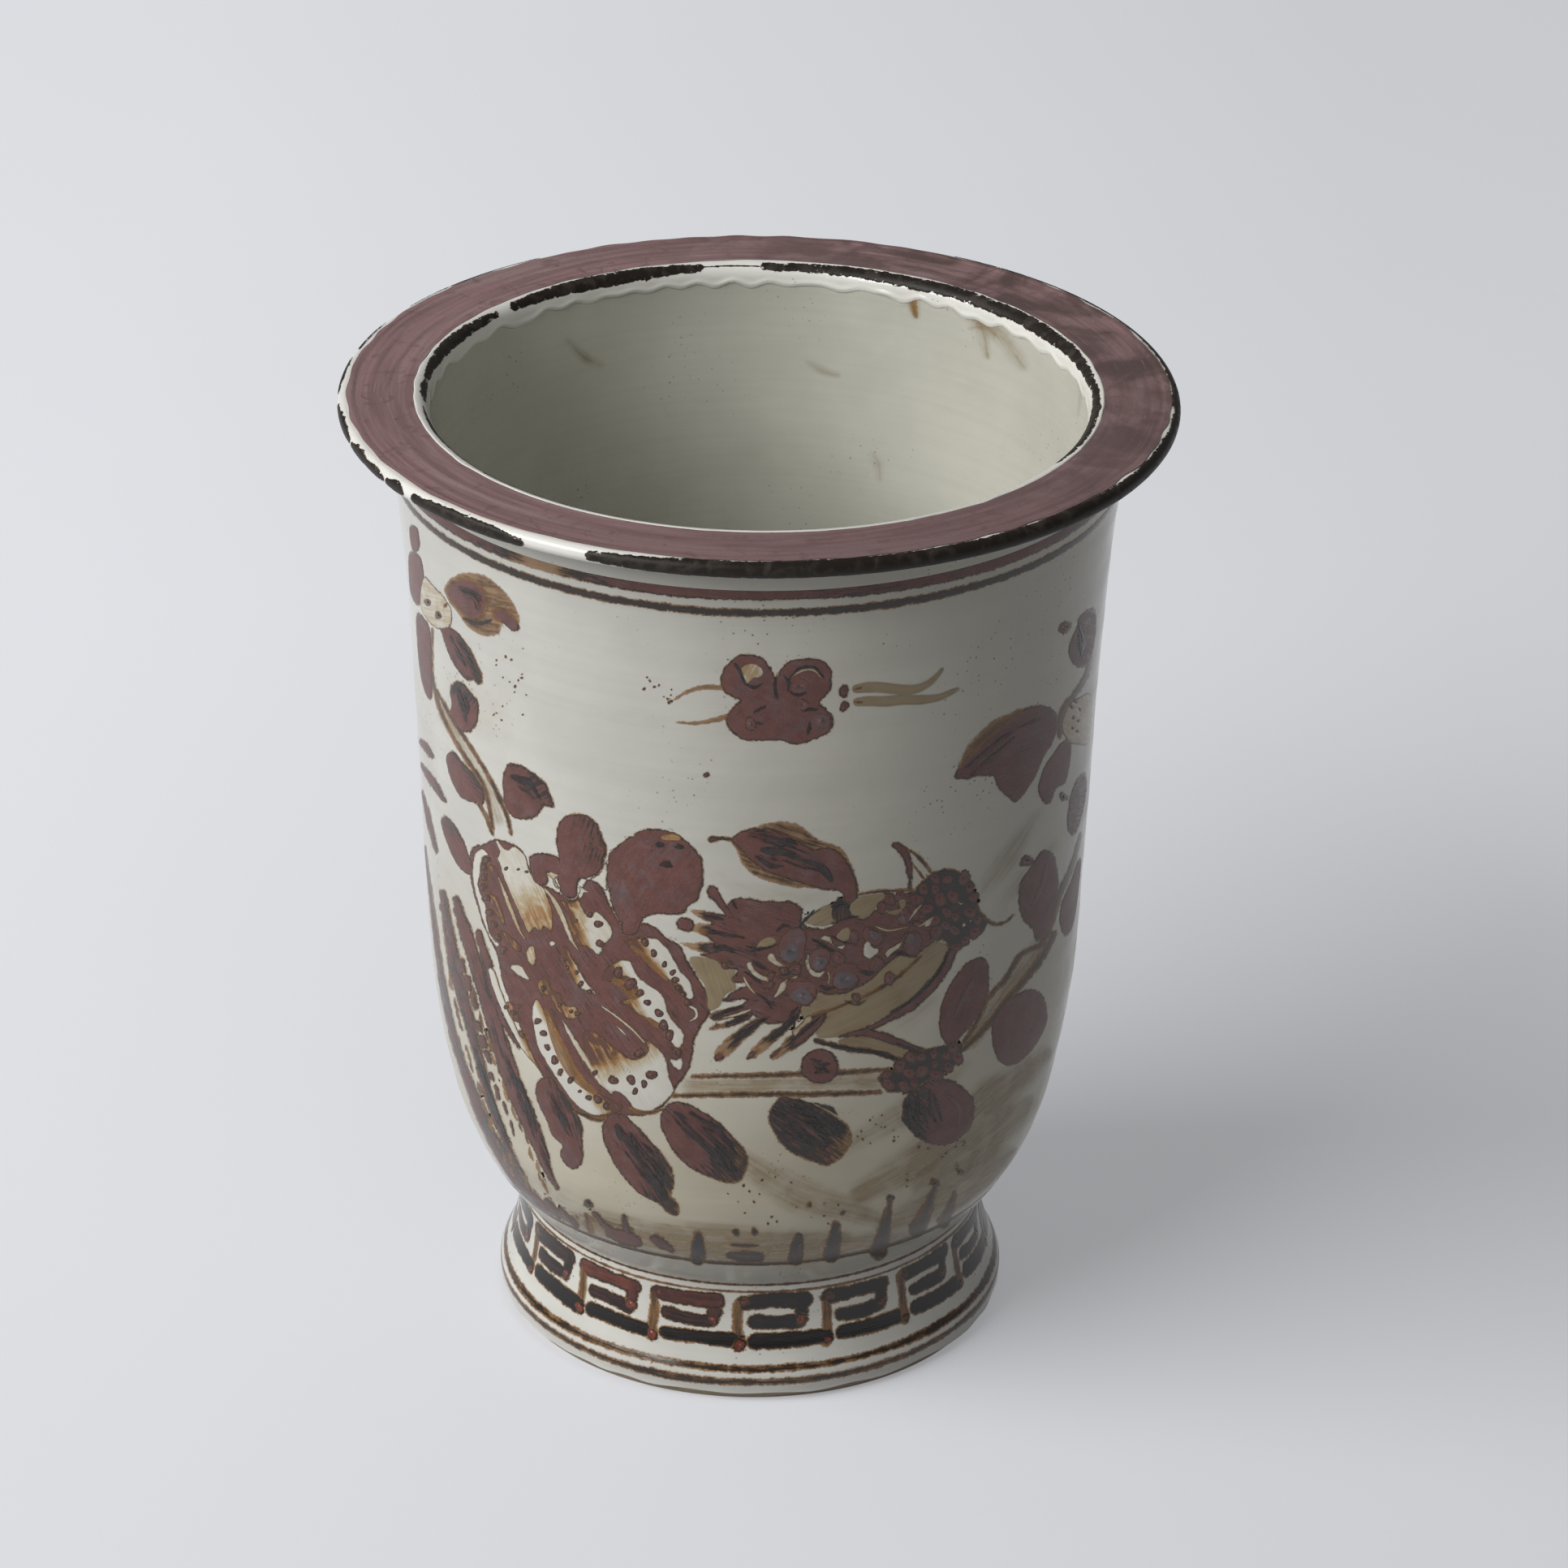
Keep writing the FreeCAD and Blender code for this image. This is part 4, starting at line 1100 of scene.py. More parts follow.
class POT_OT_butterfly(bpy.types.Operator):
    """Paint the butterfly under the rim."""

    bl_idname = "pot.butterfly"
    bl_label = "Paint the butterfly"

    def execute(self, context):
        sheet, pale, tan = sheets(3)
        wings = (956, 834, 961, 825, 971, 816, 984, 811, 1001, 811, 1016, 816, 1024, 826, 1026, 839,
                 1024, 849, 1017, 859, 1010, 865, 1017, 872, 1026, 882, 1027, 892, 1022, 902, 1009, 910,
                 994, 915, 981, 918, 968, 915, 958, 912, 948, 913, 928, 913, 915, 912, 905, 905, 896, 896,
                 893, 887, 897, 878, 905, 869, 912, 864, 902, 859, 893, 854, 888, 845, 888, 831, 896, 818,
                 907, 809, 922, 806, 938, 810, 950, 822)
        sheet.blob(wings, load=1.0, dark=0.2)
        window = (912, 823, 922, 817, 933, 818, 942, 830, 939, 835, 929, 837, 922, 844, 915, 836)
        pale.blob(window, load=0.4, tier=2)
        pale.line((972, 838, 985, 827, 1000, 824, 1014, 838), (2, 7, 7, 2), load=0.5, tier=2)
        wing_veins = ((970, 849, 979, 856, 994, 854), (928, 878, 939, 872, 944, 870),
                      (990, 876, 1000, 874, 1008, 874), (995, 905, 997, 897, 998, 890),
                      (931, 890, 936, 891, 940, 892), (956, 834, 955, 850, 958, 862),
                      (905, 817, 912, 828, 917, 842), (918, 843, 928, 847, 941, 842),
                      (971, 838, 985, 825, 1003, 823, 1016, 836), (966, 832, 972, 842, 970, 854))
        for path in wing_veins:
            sheet.vein(path, (4, 7, 4), dark=0.3, tier=4)
        wing_touches = (986, 846, 12, 1012, 888, 12, 989, 868, 9, 925, 892, 9)
        beads(sheet, wing_touches, load=1.2, tier=2)
        head_dots = (1040, 852, 7, 1040, 870, 6.5, 870, 955, 4, 827, 864, 2.2)
        beads(sheet, head_dots, load=0.8, tier=1)
        sheet.line((890, 848, 866, 847, 846, 853, 829, 863), (6, 6, 5, 2), load=0.17, dark=0.08)
        sheet.line((896, 883, 876, 888, 851, 891, 834, 890), (6, 6, 4, 1.5), load=0.17, dark=0.08)
        upper_feeler = (1055, 849, 1070, 847, 1091, 848, 1114, 850, 1132, 848, 1147, 840, 1161, 825)
        tan.line(upper_feeler, (7, 11, 10, 10, 8, 5, 2), load=2.0, dark=0.15)
        lower_feeler = (1056, 865, 1070, 864, 1091, 864, 1114, 862, 1134, 862, 1157, 859, 1180, 849)
        tan.line(lower_feeler, (7, 10, 10, 9, 8, 5, 2), load=2.0, dark=0.15)
        sheet.line((1054, 849, 1060, 848, 1068, 847), (5, 5, 2), load=0.3, dark=0.1)
        sheet.line((1055, 865, 1061, 865, 1069, 864), (5, 5, 2), load=0.3, dark=0.1)
        tan.done("butterfly_feelers", once(tan_wash))
        sheet.done("butterfly", once(brushed_mauve))
        pale.done("butterfly_windows", once(petal_white))
        return {"FINISHED"}


class POT_OT_bloom(bpy.types.Operator):
    """Paint the great bloom: a mauve mass, its leaves, pale streaked petals and rows of touches."""

    bl_idname = "pot.bloom"
    bl_label = "Paint the bloom"

    def execute(self, context):
        sheet, pale, top = sheets(3)
        mass = (596, 1040, 582, 1044, 578, 1062, 582, 1092, 590, 1122, 600, 1150, 612, 1175, 618, 1205,
                630, 1240, 645, 1275, 655, 1300, 668, 1325, 685, 1350, 705, 1368, 735, 1380, 770, 1375,
                800, 1373, 825, 1355, 834, 1338, 845, 1325, 853, 1305, 856, 1284, 866, 1262, 876, 1245,
                873, 1226, 868, 1217, 857, 1199, 847, 1181, 838, 1164, 822, 1155, 808, 1142, 792, 1136,
                778, 1150, 760, 1130, 750, 1110, 740, 1090, 728, 1083, 705, 1108, 690, 1100, 675, 1092,
                660, 1090, 652, 1066, 645, 1050, 634, 1040, 622, 1036, 610, 1034)
        sheet.blob(mass, load=0.95, dark=0.3, tier=0, lean=-0.9)
        crown_leaf = (749, 1093, 747, 1079, 748, 1063, 754, 1047, 765, 1038, 777, 1030, 788, 1023, 802, 1021,
                      816, 1021, 830, 1026, 842, 1033, 854, 1043, 863, 1055, 867, 1069, 867, 1085, 863, 1099,
                      860, 1109, 848, 1117, 844, 1125, 830, 1127, 812, 1126, 798, 1129, 790, 1138, 788, 1146,
                      779, 1153, 768, 1150, 765, 1138, 758, 1126, 752, 1111)
        leaf(sheet, crown_leaf, load=1.0, dark=0.28, tier=2)
        crown_veins = ((813, 1066, 821, 1064, 829, 1068), (809, 1040, 813, 1041, 818, 1040),
                       (832, 1043, 837, 1043, 842, 1045))
        for path in crown_veins:
            sheet.vein(path, (5, 14, 5), dark=0.4, tier=5)
        sheet.line((768, 1085, 772, 1110, 782, 1134), (10, 24, 12), load=1.16, dark=0.1, tier=3)
        sheet.line((772, 1052, 790, 1042, 806, 1046), (8, 16, 8), load=1.12, dark=0.15, tier=3)
        left_leaf = (685, 1034, 689, 1014, 700, 1004, 713, 1001, 727, 1006, 738, 1018, 743, 1032, 747, 1043,
                     746, 1061, 739, 1075, 728, 1081, 713, 1087, 711, 1103, 701, 1108, 692, 1101, 688, 1089,
                     686, 1079, 688, 1055)
        leaf(sheet, left_leaf, load=0.95, dark=0.25, fade=(20, 0.35), tier=2)
        small_leaf = (652, 1055, 658, 1052, 674, 1051, 688, 1056, 694, 1069, 688, 1079, 674, 1076, 676, 1087,
                      670, 1092, 662, 1090, 655, 1077, 652, 1065)
        leaf(sheet, small_leaf, load=0.95, dark=0.2, tier=2)
        pale.line((722, 1026, 731, 1038, 743, 1047), (3, 6, 3), load=1.4, tier=4)
        crown_gap = (812, 1033, 818, 1026, 830, 1026, 840, 1032, 838, 1036, 826, 1037)
        pale.blob(crown_gap, load=1.3, tier=4)
        petals = ((0.05, (0, 0.25),
                   (588, 1048, 597, 1047, 602, 1053, 595, 1058, 593, 1068, 592, 1080, 590, 1090, 593, 1100,
                    597, 1110, 600, 1120, 600, 1132, 604, 1147, 610, 1158, 617, 1163, 613, 1167, 606, 1158,
                    599, 1143, 594, 1128, 589, 1110, 585, 1092, 583, 1075, 584, 1058)),
                  (0.1, (-62, -0.5),
                   (611, 1034, 615, 1036, 620, 1044, 627, 1046, 632, 1042, 640, 1046, 649, 1057, 651, 1068,
                    656, 1079, 661, 1087, 669, 1092, 675, 1106, 680, 1118, 682, 1132, 679, 1147, 671, 1141,
                    666, 1147, 660, 1143, 652, 1150, 645, 1135, 636, 1115, 628, 1097, 620, 1078, 616, 1064,
                    613, 1058, 616, 1050)),
                  (0.1, (190, -1.1),
                   (690, 1109, 700, 1112, 708, 1110, 714, 1108, 718, 1118, 722, 1125, 728, 1128, 733, 1122,
                    742, 1127, 750, 1136, 755, 1147, 752, 1157, 744, 1164, 742, 1172, 736, 1176, 731, 1171,
                    722, 1165, 714, 1165, 710, 1155, 706, 1143, 701, 1130, 695, 1118)),
                  (0.3, None, (673, 1077, 679, 1074, 691, 1079, 684, 1082, 689, 1095, 684, 1092, 680, 1082)),
                  (0.1, None, (712, 1089, 718, 1094, 728, 1099, 720, 1100, 716, 1107, 712, 1104, 715, 1098)),
                  (0.05, None, (727, 1083, 738, 1077, 747, 1060, 748, 1085, 747, 1098, 738, 1089)),
                  (0.4, None, (652, 1166, 658, 1165, 660, 1172, 661, 1180, 656, 1190, 651, 1184)),
                  (0.1, None, (629, 1192, 644, 1191, 648, 1198, 654, 1209, 645, 1205, 635, 1199)),
                  (0.1, None, (677, 1160, 685, 1161, 683, 1165, 678, 1165)),
                  (0.1, (185, -1.2),
                   (693, 1165, 699, 1168, 704, 1178, 711, 1189, 716, 1198, 722, 1209, 730, 1218, 736, 1226,
                    728, 1222, 716, 1218, 709, 1212, 706, 1205, 700, 1198, 697, 1188, 697, 1175)),
                  (1.3, None, (617, 1146, 626, 1150, 634, 1158, 643, 1166, 641, 1173, 633, 1168, 624, 1157)),
                  (1.5, None, (603, 1066, 612, 1070, 616, 1082, 609, 1079)),
                  (1.3, None, (604, 1102, 613, 1106, 620, 1124, 622, 1140, 613, 1128, 607, 1116)),
                  (0.05, (30, -0.9),
                   (602, 1192, 609, 1196, 615, 1213, 621, 1229, 626, 1243, 632, 1256, 638, 1269, 649, 1281,
                    654, 1294, 660, 1305, 667, 1318, 655, 1306, 642, 1290, 631, 1271, 621, 1251, 612, 1230,
                    605, 1210)),
                  (1.4, None,
                   (634, 1238, 643, 1237, 638, 1248, 642, 1258, 634, 1258, 626, 1250, 622, 1238, 628, 1234)),
                  (1.0, None,
                   (664, 1209, 672, 1205, 677, 1209, 678, 1217, 684, 1222, 691, 1225, 693, 1234, 700, 1240,
                    708, 1239, 713, 1247, 711, 1254, 700, 1255, 689, 1246, 681, 1234, 676, 1226, 668, 1226,
                    663, 1218)),
                  (0.03, (35, -1.9),
                   (663, 1231, 668, 1240, 674, 1250, 680, 1243, 684, 1256, 688, 1266, 690, 1283, 697, 1296,
                    704, 1312, 712, 1328, 722, 1340, 738, 1347, 750, 1352, 762, 1360, 768, 1361, 765, 1367,
                    750, 1372, 732, 1374, 716, 1366, 704, 1354, 692, 1337, 682, 1322, 672, 1306, 663, 1290,
                    659, 1272, 656, 1255, 657, 1237)),
                  (0.05, (125, -1.5),
                   (722, 1270, 733, 1272, 748, 1283, 765, 1297, 778, 1305, 792, 1302, 799, 1293, 795, 1281,
                    806, 1287, 817, 1298, 823, 1312, 825, 1327, 831, 1341, 824, 1353, 811, 1364, 796, 1370,
                    780, 1364, 775, 1356, 764, 1346, 750, 1343, 740, 1333, 730, 1320, 723, 1305, 720, 1288)),
                  (0.05, (205, -1.8),
                   (745, 1198, 757, 1187, 768, 1182, 777, 1184, 781, 1194, 788, 1204, 798, 1212, 808, 1218,
                    818, 1228, 822, 1240, 826, 1253, 835, 1263, 843, 1275, 842, 1286, 836, 1292, 828, 1286,
                    820, 1272, 812, 1262, 804, 1258, 795, 1254, 783, 1247, 772, 1238, 764, 1236, 770, 1231,
                    780, 1229, 788, 1228, 784, 1215, 775, 1204, 764, 1204, 750, 1209, 742, 1206)),
                  (0.05, (215, -1.8),
                   (770, 1160, 780, 1157, 795, 1155, 808, 1155, 820, 1165, 832, 1183, 840, 1198, 848, 1205,
                    853, 1217, 854, 1231, 848, 1232, 843, 1222, 836, 1212, 826, 1208, 815, 1200, 805, 1190,
                    795, 1178, 782, 1168)),
                  (0.05, None, (824, 1300, 832, 1306, 840, 1303, 842, 1310, 838, 1318, 830, 1314)))
        for stain, fade, outline in petals:
            pale.blob(outline, stain, tier=3, lean=-1.05, fade=fade, step=0.8)
        strips = ((0.3, (2, 5, 6, 5, 2), (615, 1081, 624, 1104, 632, 1125, 640, 1145, 647, 1157)),
                  (0.2, (2, 6, 7, 6, 5, 2),
                   (670, 1093, 681, 1106, 690, 1122, 697, 1138, 703, 1154, 714, 1173)),
                  (0.2, (2, 3, 3, 2), (742, 1240, 760, 1253, 782, 1271, 794, 1284)),
                  (0.2, (1, 3, 1), (758, 1263, 765, 1269, 773, 1277)),
                  (0.2, (2, 6, 8, 8, 7, 4),
                   (693, 1257, 704, 1277, 716, 1296, 730, 1317, 740, 1332, 754, 1346)),
                  (0.1, (3, 5, 4, 2), (848, 1239, 857, 1244, 858, 1253, 850, 1258)))
        for stain, widths, path in strips:
            pale.line(path, widths, load=stain, dark=0.2, tier=3, step=0.8)
        touches = (624, 1070, 3.5, 639, 1071, 2.6, 649, 1074, 2.6, 600, 1059, 5.5, 597, 1068, 5.5,
                   597, 1080, 5.5, 596, 1093, 5.5, 600, 1106, 5.5, 604, 1124, 5.5, 609, 1139, 5.5,
                   614, 1154, 5.5, 620, 1171, 5.5, 711, 1134, 3, 728, 1126, 5, 738, 1138, 6, 740, 1162, 6,
                   795, 1160, 6, 806, 1174, 6, 819, 1188, 5, 829, 1198, 5, 832, 1207, 5.5, 836, 1217, 5.5,
                   842, 1225, 5, 847, 1235, 5.5, 762, 1198, 7.5, 777, 1212, 8, 789, 1223, 6, 798, 1235, 5.5,
                   812, 1248, 6.4, 818, 1263, 7.3, 825, 1275, 7.3, 837, 1296, 5.5, 788, 1297, 7,
                   803, 1324, 7, 756, 1330, 6.5, 778, 1330, 7, 794, 1335, 5.5, 783, 1344, 5, 734, 1321, 4,
                   663, 1258, 5, 670, 1273, 5, 675, 1290, 4.5, 684, 1306, 5.5, 691, 1321, 4.7,
                   704, 1330, 5.5, 715, 1344, 3, 726, 1352, 4.7, 737, 1354, 6.3, 748, 1362, 6,
                   670, 1218, 4.5, 690, 1238, 3.3, 704, 1246, 3, 712, 1249, 4.5, 696, 1181, 3.5,
                   700, 1192, 4, 711, 1198, 3.3, 716, 1212, 4.5, 727, 1222, 4.5, 624, 1241, 4, 632, 1248, 5,
                   644, 1274, 6)
        beads(top, touches, load=0.8, tier=6)
        petal_streaks = ((0.17, (8, 15, 18, 16, 8), (672, 1248, 682, 1275, 694, 1303, 710, 1328, 732, 1346)),
                         (0.16, (6, 10, 13, 12, 6), (752, 1204, 772, 1217, 786, 1237, 800, 1252, 815, 1266)),
                         (0.16, (6, 11, 11, 6), (778, 1163, 794, 1175, 808, 1189, 822, 1205)),
                         (0.14, (10, 22, 20, 8), (728, 1278, 748, 1298, 768, 1315, 786, 1326)),
                         (0.2, (5, 9, 6), (700, 1120, 706, 1138, 714, 1156)),
                         (0.2, (3, 6, 4), (699, 1178, 706, 1196, 716, 1210)))
        for load, widths, path in petal_streaks:
            top.line(path, widths, load=load, dark=0.1, tier=3)
        top.line((709, 1369, 724, 1375, 738, 1380, 746, 1379), (5, 7, 7, 4), load=0.5, dark=0.2, tier=4)
        top.line((775, 1364, 789, 1369, 804, 1370, 817, 1366), (4, 6, 6, 3), load=0.42, dark=0.2, tier=4)
        sheet.done("bloom_mass", once(brushed_mauve))
        pale.done("bloom_petals", once(petal_white))
        top.done("bloom_touches", once(brushed_mauve))
        return {"FINISHED"}


class POT_OT_bird(bpy.types.Operator):
    """Paint the bird: wing and tail strokes, round breast feathers, a head of close dabs, beak and legs."""

    bl_idname = "pot.bird"
    bl_label = "Paint the bird"

    def execute(self, context):
        sheet, pale, tan = sheets(3)
        body = (893, 1126, 898, 1111, 907, 1107, 945, 1110, 980, 1112, 989, 1121, 988, 1136, 1000, 1142,
                1026, 1140, 1036, 1129, 1052, 1127, 1066, 1131, 1078, 1121, 1092, 1110, 1112, 1101,
                1128, 1098, 1140, 1084, 1152, 1075, 1165, 1071, 1184, 1075, 1196, 1086, 1200, 1104,
                1208, 1124, 1217, 1138, 1208, 1149, 1192, 1159, 1176, 1165, 1158, 1158, 1141, 1168,
                1128, 1178, 1108, 1179, 1092, 1190, 1078, 1204, 1060, 1216, 1042, 1224, 1020, 1226,
                1003, 1222, 990, 1238, 984, 1252, 966, 1260, 944, 1262, 926, 1250, 904, 1246, 920, 1232,
                890, 1234, 904, 1220, 924, 1212, 897, 1209, 908, 1196, 890, 1192, 880, 1184, 862, 1176,
                885, 1170, 870, 1154, 858, 1146, 874, 1138)
        sheet.blob(body, load=0.95, dark=0.32, tier=1, lean=-0.35)
        feathers = ((0.9, 180, 0.78,
                     (849, 1120, 860, 1121, 880, 1124, 896, 1128, 900, 1140, 880, 1138, 865, 1132)),
                    (0.9, 180, 0.78,
                     (852, 1146, 858, 1138, 875, 1139, 890, 1145, 905, 1150, 922, 1154, 900, 1158, 880, 1155,
                      862, 1150)),
                    (0.7, 180, 0.6,
                     (838, 1161, 855, 1161, 875, 1161, 890, 1164, 903, 1170, 885, 1174, 870, 1175, 855, 1170)),
                    (0.62, 215, 0.45,
                     (880, 1302, 882, 1293, 890, 1284, 905, 1271, 922, 1259, 938, 1252, 952, 1246, 946, 1256,
                      935, 1266, 922, 1278, 908, 1290, 898, 1300, 890, 1305, 886, 1309)),
                    (0.75, 215, 0.62,
                     (922, 1301, 926, 1293, 935, 1283, 950, 1271, 965, 1261, 975, 1251, 983, 1246, 985, 1254,
                      975, 1265, 962, 1278, 948, 1290, 938, 1297, 928, 1304)),
                    (0.85, 215, 0.66,
                     (948, 1302, 958, 1291, 970, 1279, 985, 1265, 1000, 1252, 1018, 1244, 1018, 1256,
                      1008, 1268, 995, 1282, 980, 1292, 965, 1300, 952, 1305)),
                    (0.85, 200, 0.5,
                     (873, 1268, 880, 1262, 895, 1259, 912, 1252, 928, 1246, 926, 1254, 912, 1261, 895, 1267)),
                    (0.9, 200, 0.3,
                     (874, 1252, 880, 1246, 893, 1243, 910, 1238, 935, 1231, 938, 1240, 912, 1248, 890, 1257,
                      879, 1258)))
        for load, degrees, thin, outline in feathers:
            sheet.blob(outline, load=load, dark=0.25, tier=1, lean=math.radians(degrees - 180),
                       fade=(degrees, thin), step=0.8)
        strokes = ((0.9, (16, 11, 9, 10), (878, 1098, 884, 1106, 892, 1118, 900, 1128)),
                   (0.95, (15, 16), (841, 1137, 848, 1140)), (0.9, (10, 11), (884, 1303, 888, 1300)),
                   (0.9, (6, 9, 4), (922, 1302, 928, 1298, 934, 1293)),
                   (0.9, (5, 8, 5), (950, 1302, 956, 1297, 962, 1291)),
                   (0.45, (4, 5, 5, 4), (1057, 1102, 1081, 1098, 1107, 1097, 1124, 1096)),
                   (0.9, (9, 13, 10, 7, 5), (1103, 1041, 1112, 1048, 1119, 1062, 1121, 1078, 1120, 1095)),
                   (0.42, (3, 6, 5), (1115, 1044, 1133, 1057, 1147, 1075)),
                   (0.42, (3, 4, 3), (1122, 1062, 1131, 1073, 1139, 1084)),
                   (0.44, (8, 7, 6, 6, 4, 4),
                    (1200, 1112, 1207, 1125, 1217, 1135, 1230, 1139, 1241, 1135, 1249, 1127)),
                   (0.9, (10, 12, 13, 12, 12, 10, 6),
                    (1179, 1161, 1171, 1180, 1160, 1200, 1143, 1221, 1124, 1238, 1097, 1254, 1066, 1270)),
                   (0.85, (4, 11, 12, 10, 8), (1034, 1277, 1063, 1272, 1096, 1280, 1124, 1291, 1141, 1297)),
                   (0.6, (7, 8, 8, 6), (1004, 1282, 1046, 1292, 1081, 1297, 1111, 1307)),
                   (0.38, (3, 6, 6, 3), (1136, 1178, 1108, 1202, 1080, 1220, 1046, 1236)),
                   (0.36, (3, 5, 5, 3), (1060, 1228, 1030, 1242, 1000, 1250)))
        for load, widths, path in strokes:
            sheet.line(path, widths, load=load, dark=0.2, tier=2)
        streaks = (((5, 8, 4), (868, 1127, 880, 1130, 892, 1133)),
                   ((5, 8, 4), (876, 1147, 895, 1151, 918, 1155)),
                   ((6, 10, 6), (880, 1165, 892, 1167, 904, 1172)),
                   ((3, 5, 3), (918, 1165, 930, 1168, 952, 1166)),
                   ((4, 6, 3), (985, 1142, 993, 1132, 1004, 1120)),
                   ((5, 8, 6), (1028, 1118, 1036, 1112, 1046, 1118)),
                   ((4, 8, 4), (960, 1203, 972, 1198, 988, 1192)),
                   ((3, 5, 3), (1000, 1158, 1012, 1164, 1024, 1172)),
                   ((4, 9, 5), (926, 1182, 936, 1190, 948, 1196)),
                   ((3, 7, 7, 3), (896, 1292, 912, 1276, 932, 1262, 950, 1252)),
                   ((3, 8, 8, 4), (946, 1284, 960, 1272, 974, 1260, 984, 1250)),
                   ((3, 7, 7, 3), (972, 1286, 986, 1274, 1000, 1262, 1012, 1252)),
                   ((5, 7, 7, 6, 4), (1168, 1172, 1158, 1195, 1140, 1216, 1120, 1234, 1096, 1248)),
                   ((4, 7, 4), (1104, 1284, 1122, 1292, 1140, 1298)),
                   ((4, 6, 6, 4), (1010, 1285, 1046, 1292, 1081, 1297, 1108, 1306)),
                   ((5, 9, 6), (890, 1247, 904, 1243, 916, 1240)),
                   ((5, 9, 5), (896, 1262, 910, 1256, 924, 1250)),
                   ((4, 7, 4), (1092, 1178, 1108, 1174, 1124, 1178)),
                   ((5, 8, 5, 6, 9), (985, 1142, 993, 1132, 1008, 1122, 1024, 1118, 1034, 1108)),
                   ((6, 12, 6), (1026, 1122, 1036, 1116, 1047, 1116)),
                   ((3, 4, 3), (1024, 1138, 1044, 1131, 1070, 1127)),
                   ((4, 7, 3), (957, 1147, 966, 1140, 976, 1142)),
                   ((3, 5, 3), (924, 1172, 940, 1169, 958, 1163)),
                   ((4, 7, 4), (1000, 1156, 1014, 1164, 1028, 1172)),
                   ((3, 4, 3), (1022, 1151, 1032, 1157, 1044, 1163)),
                   ((3, 7, 3), (916, 1196, 928, 1204, 940, 1214)),
                   ((5, 8, 4), (1010, 1215, 1020, 1218, 1031, 1216)),
                   ((5, 9, 4), (1062, 1196, 1070, 1200, 1079, 1196)),
                   ((4, 8, 5), (984, 1240, 976, 1250, 973, 1262)),
                   ((3, 6, 4), (900, 1108, 905, 1114, 908, 1120)),
                   ((3, 5, 3), (930, 1222, 944, 1232, 952, 1244)),
                   ((4, 6, 3), (1040, 1232, 1056, 1238, 1068, 1232)))
        for widths, path in streaks:
            sheet.vein(path, widths, dark=0.45, tier=3)
        breast = (977, 1165, 21, 1010, 1181, 15, 1041, 1202, 19, 988, 1222, 18, 1075, 1154, 13,
                  1052, 1154, 8.5, 1124, 1162, 15, 1080, 1188, 10, 1115, 1132, 9, 1112, 1122, 7,
                  1033, 1180, 9, 1055, 1229, 6.5, 1096, 1206, 8)
        beads(sheet, breast, load=1.16, tier=3)
        breast_cores = (975, 1171, 16, 1010, 1186, 12, 1041, 1207, 15, 988, 1227, 14, 1076, 1152, 8,
                        1052, 1152, 5, 1122, 1158, 9, 1080, 1190, 6, 1114, 1130, 6)
        beads(sheet, breast_cores, load=1.4, tier=4)
        head = (1124, 1102, 1137, 1085, 1150, 1076, 1159, 1071, 1180, 1074, 1196, 1085, 1200, 1100,
                1204, 1115, 1211, 1128, 1217, 1137, 1211, 1150, 1193, 1159, 1185, 1167, 1172, 1170,
                1163, 1159, 1150, 1150, 1141, 1137, 1133, 1120)
        sheet.blob(head, load=0.52, dark=0.08, tier=3)
        dabs = (872, 1191, 8, 893, 1190, 6, 950, 1202, 7, 950, 1213, 6, 980, 1194, 9, 966, 1196, 7,
                1014, 1203, 6, 1096, 1108, 9, 1086, 1118, 8, 1108, 1104, 8, 1136, 1128, 6, 1130, 1138, 6,
                1145, 1118, 8)
        beads(sheet, dabs, load=0.9, tier=3)
        scatter(sheet, head, count=60, seed=6, low=7.0, high=10.0, load=1.05, tier=4, spread=1.6)
        nape = (1024, 1118, 1034, 1108, 1047, 1110, 1049, 1120, 1050, 1129, 1038, 1135, 1026, 1135)
        sheet.blob(nape, load=0.6, dark=0.3, tier=2)
        bud = (1082, 1326, 1100, 1318, 1120, 1302, 1150, 1290, 1186, 1291, 1178, 1311, 1150, 1327,
               1120, 1343, 1092, 1344)
        sheet.blob(bud, load=0.5, dark=0.1, tier=2)
        bud_edge = (1080, 1325, 1100, 1318, 1120, 1300, 1150, 1288, 1190, 1290, 1180, 1312, 1150, 1328,
                    1120, 1345, 1090, 1345)
        scatter(sheet, bud_edge, count=50, seed=7, low=6.5, high=9.0, load=1.0, tier=4, spread=1.6)
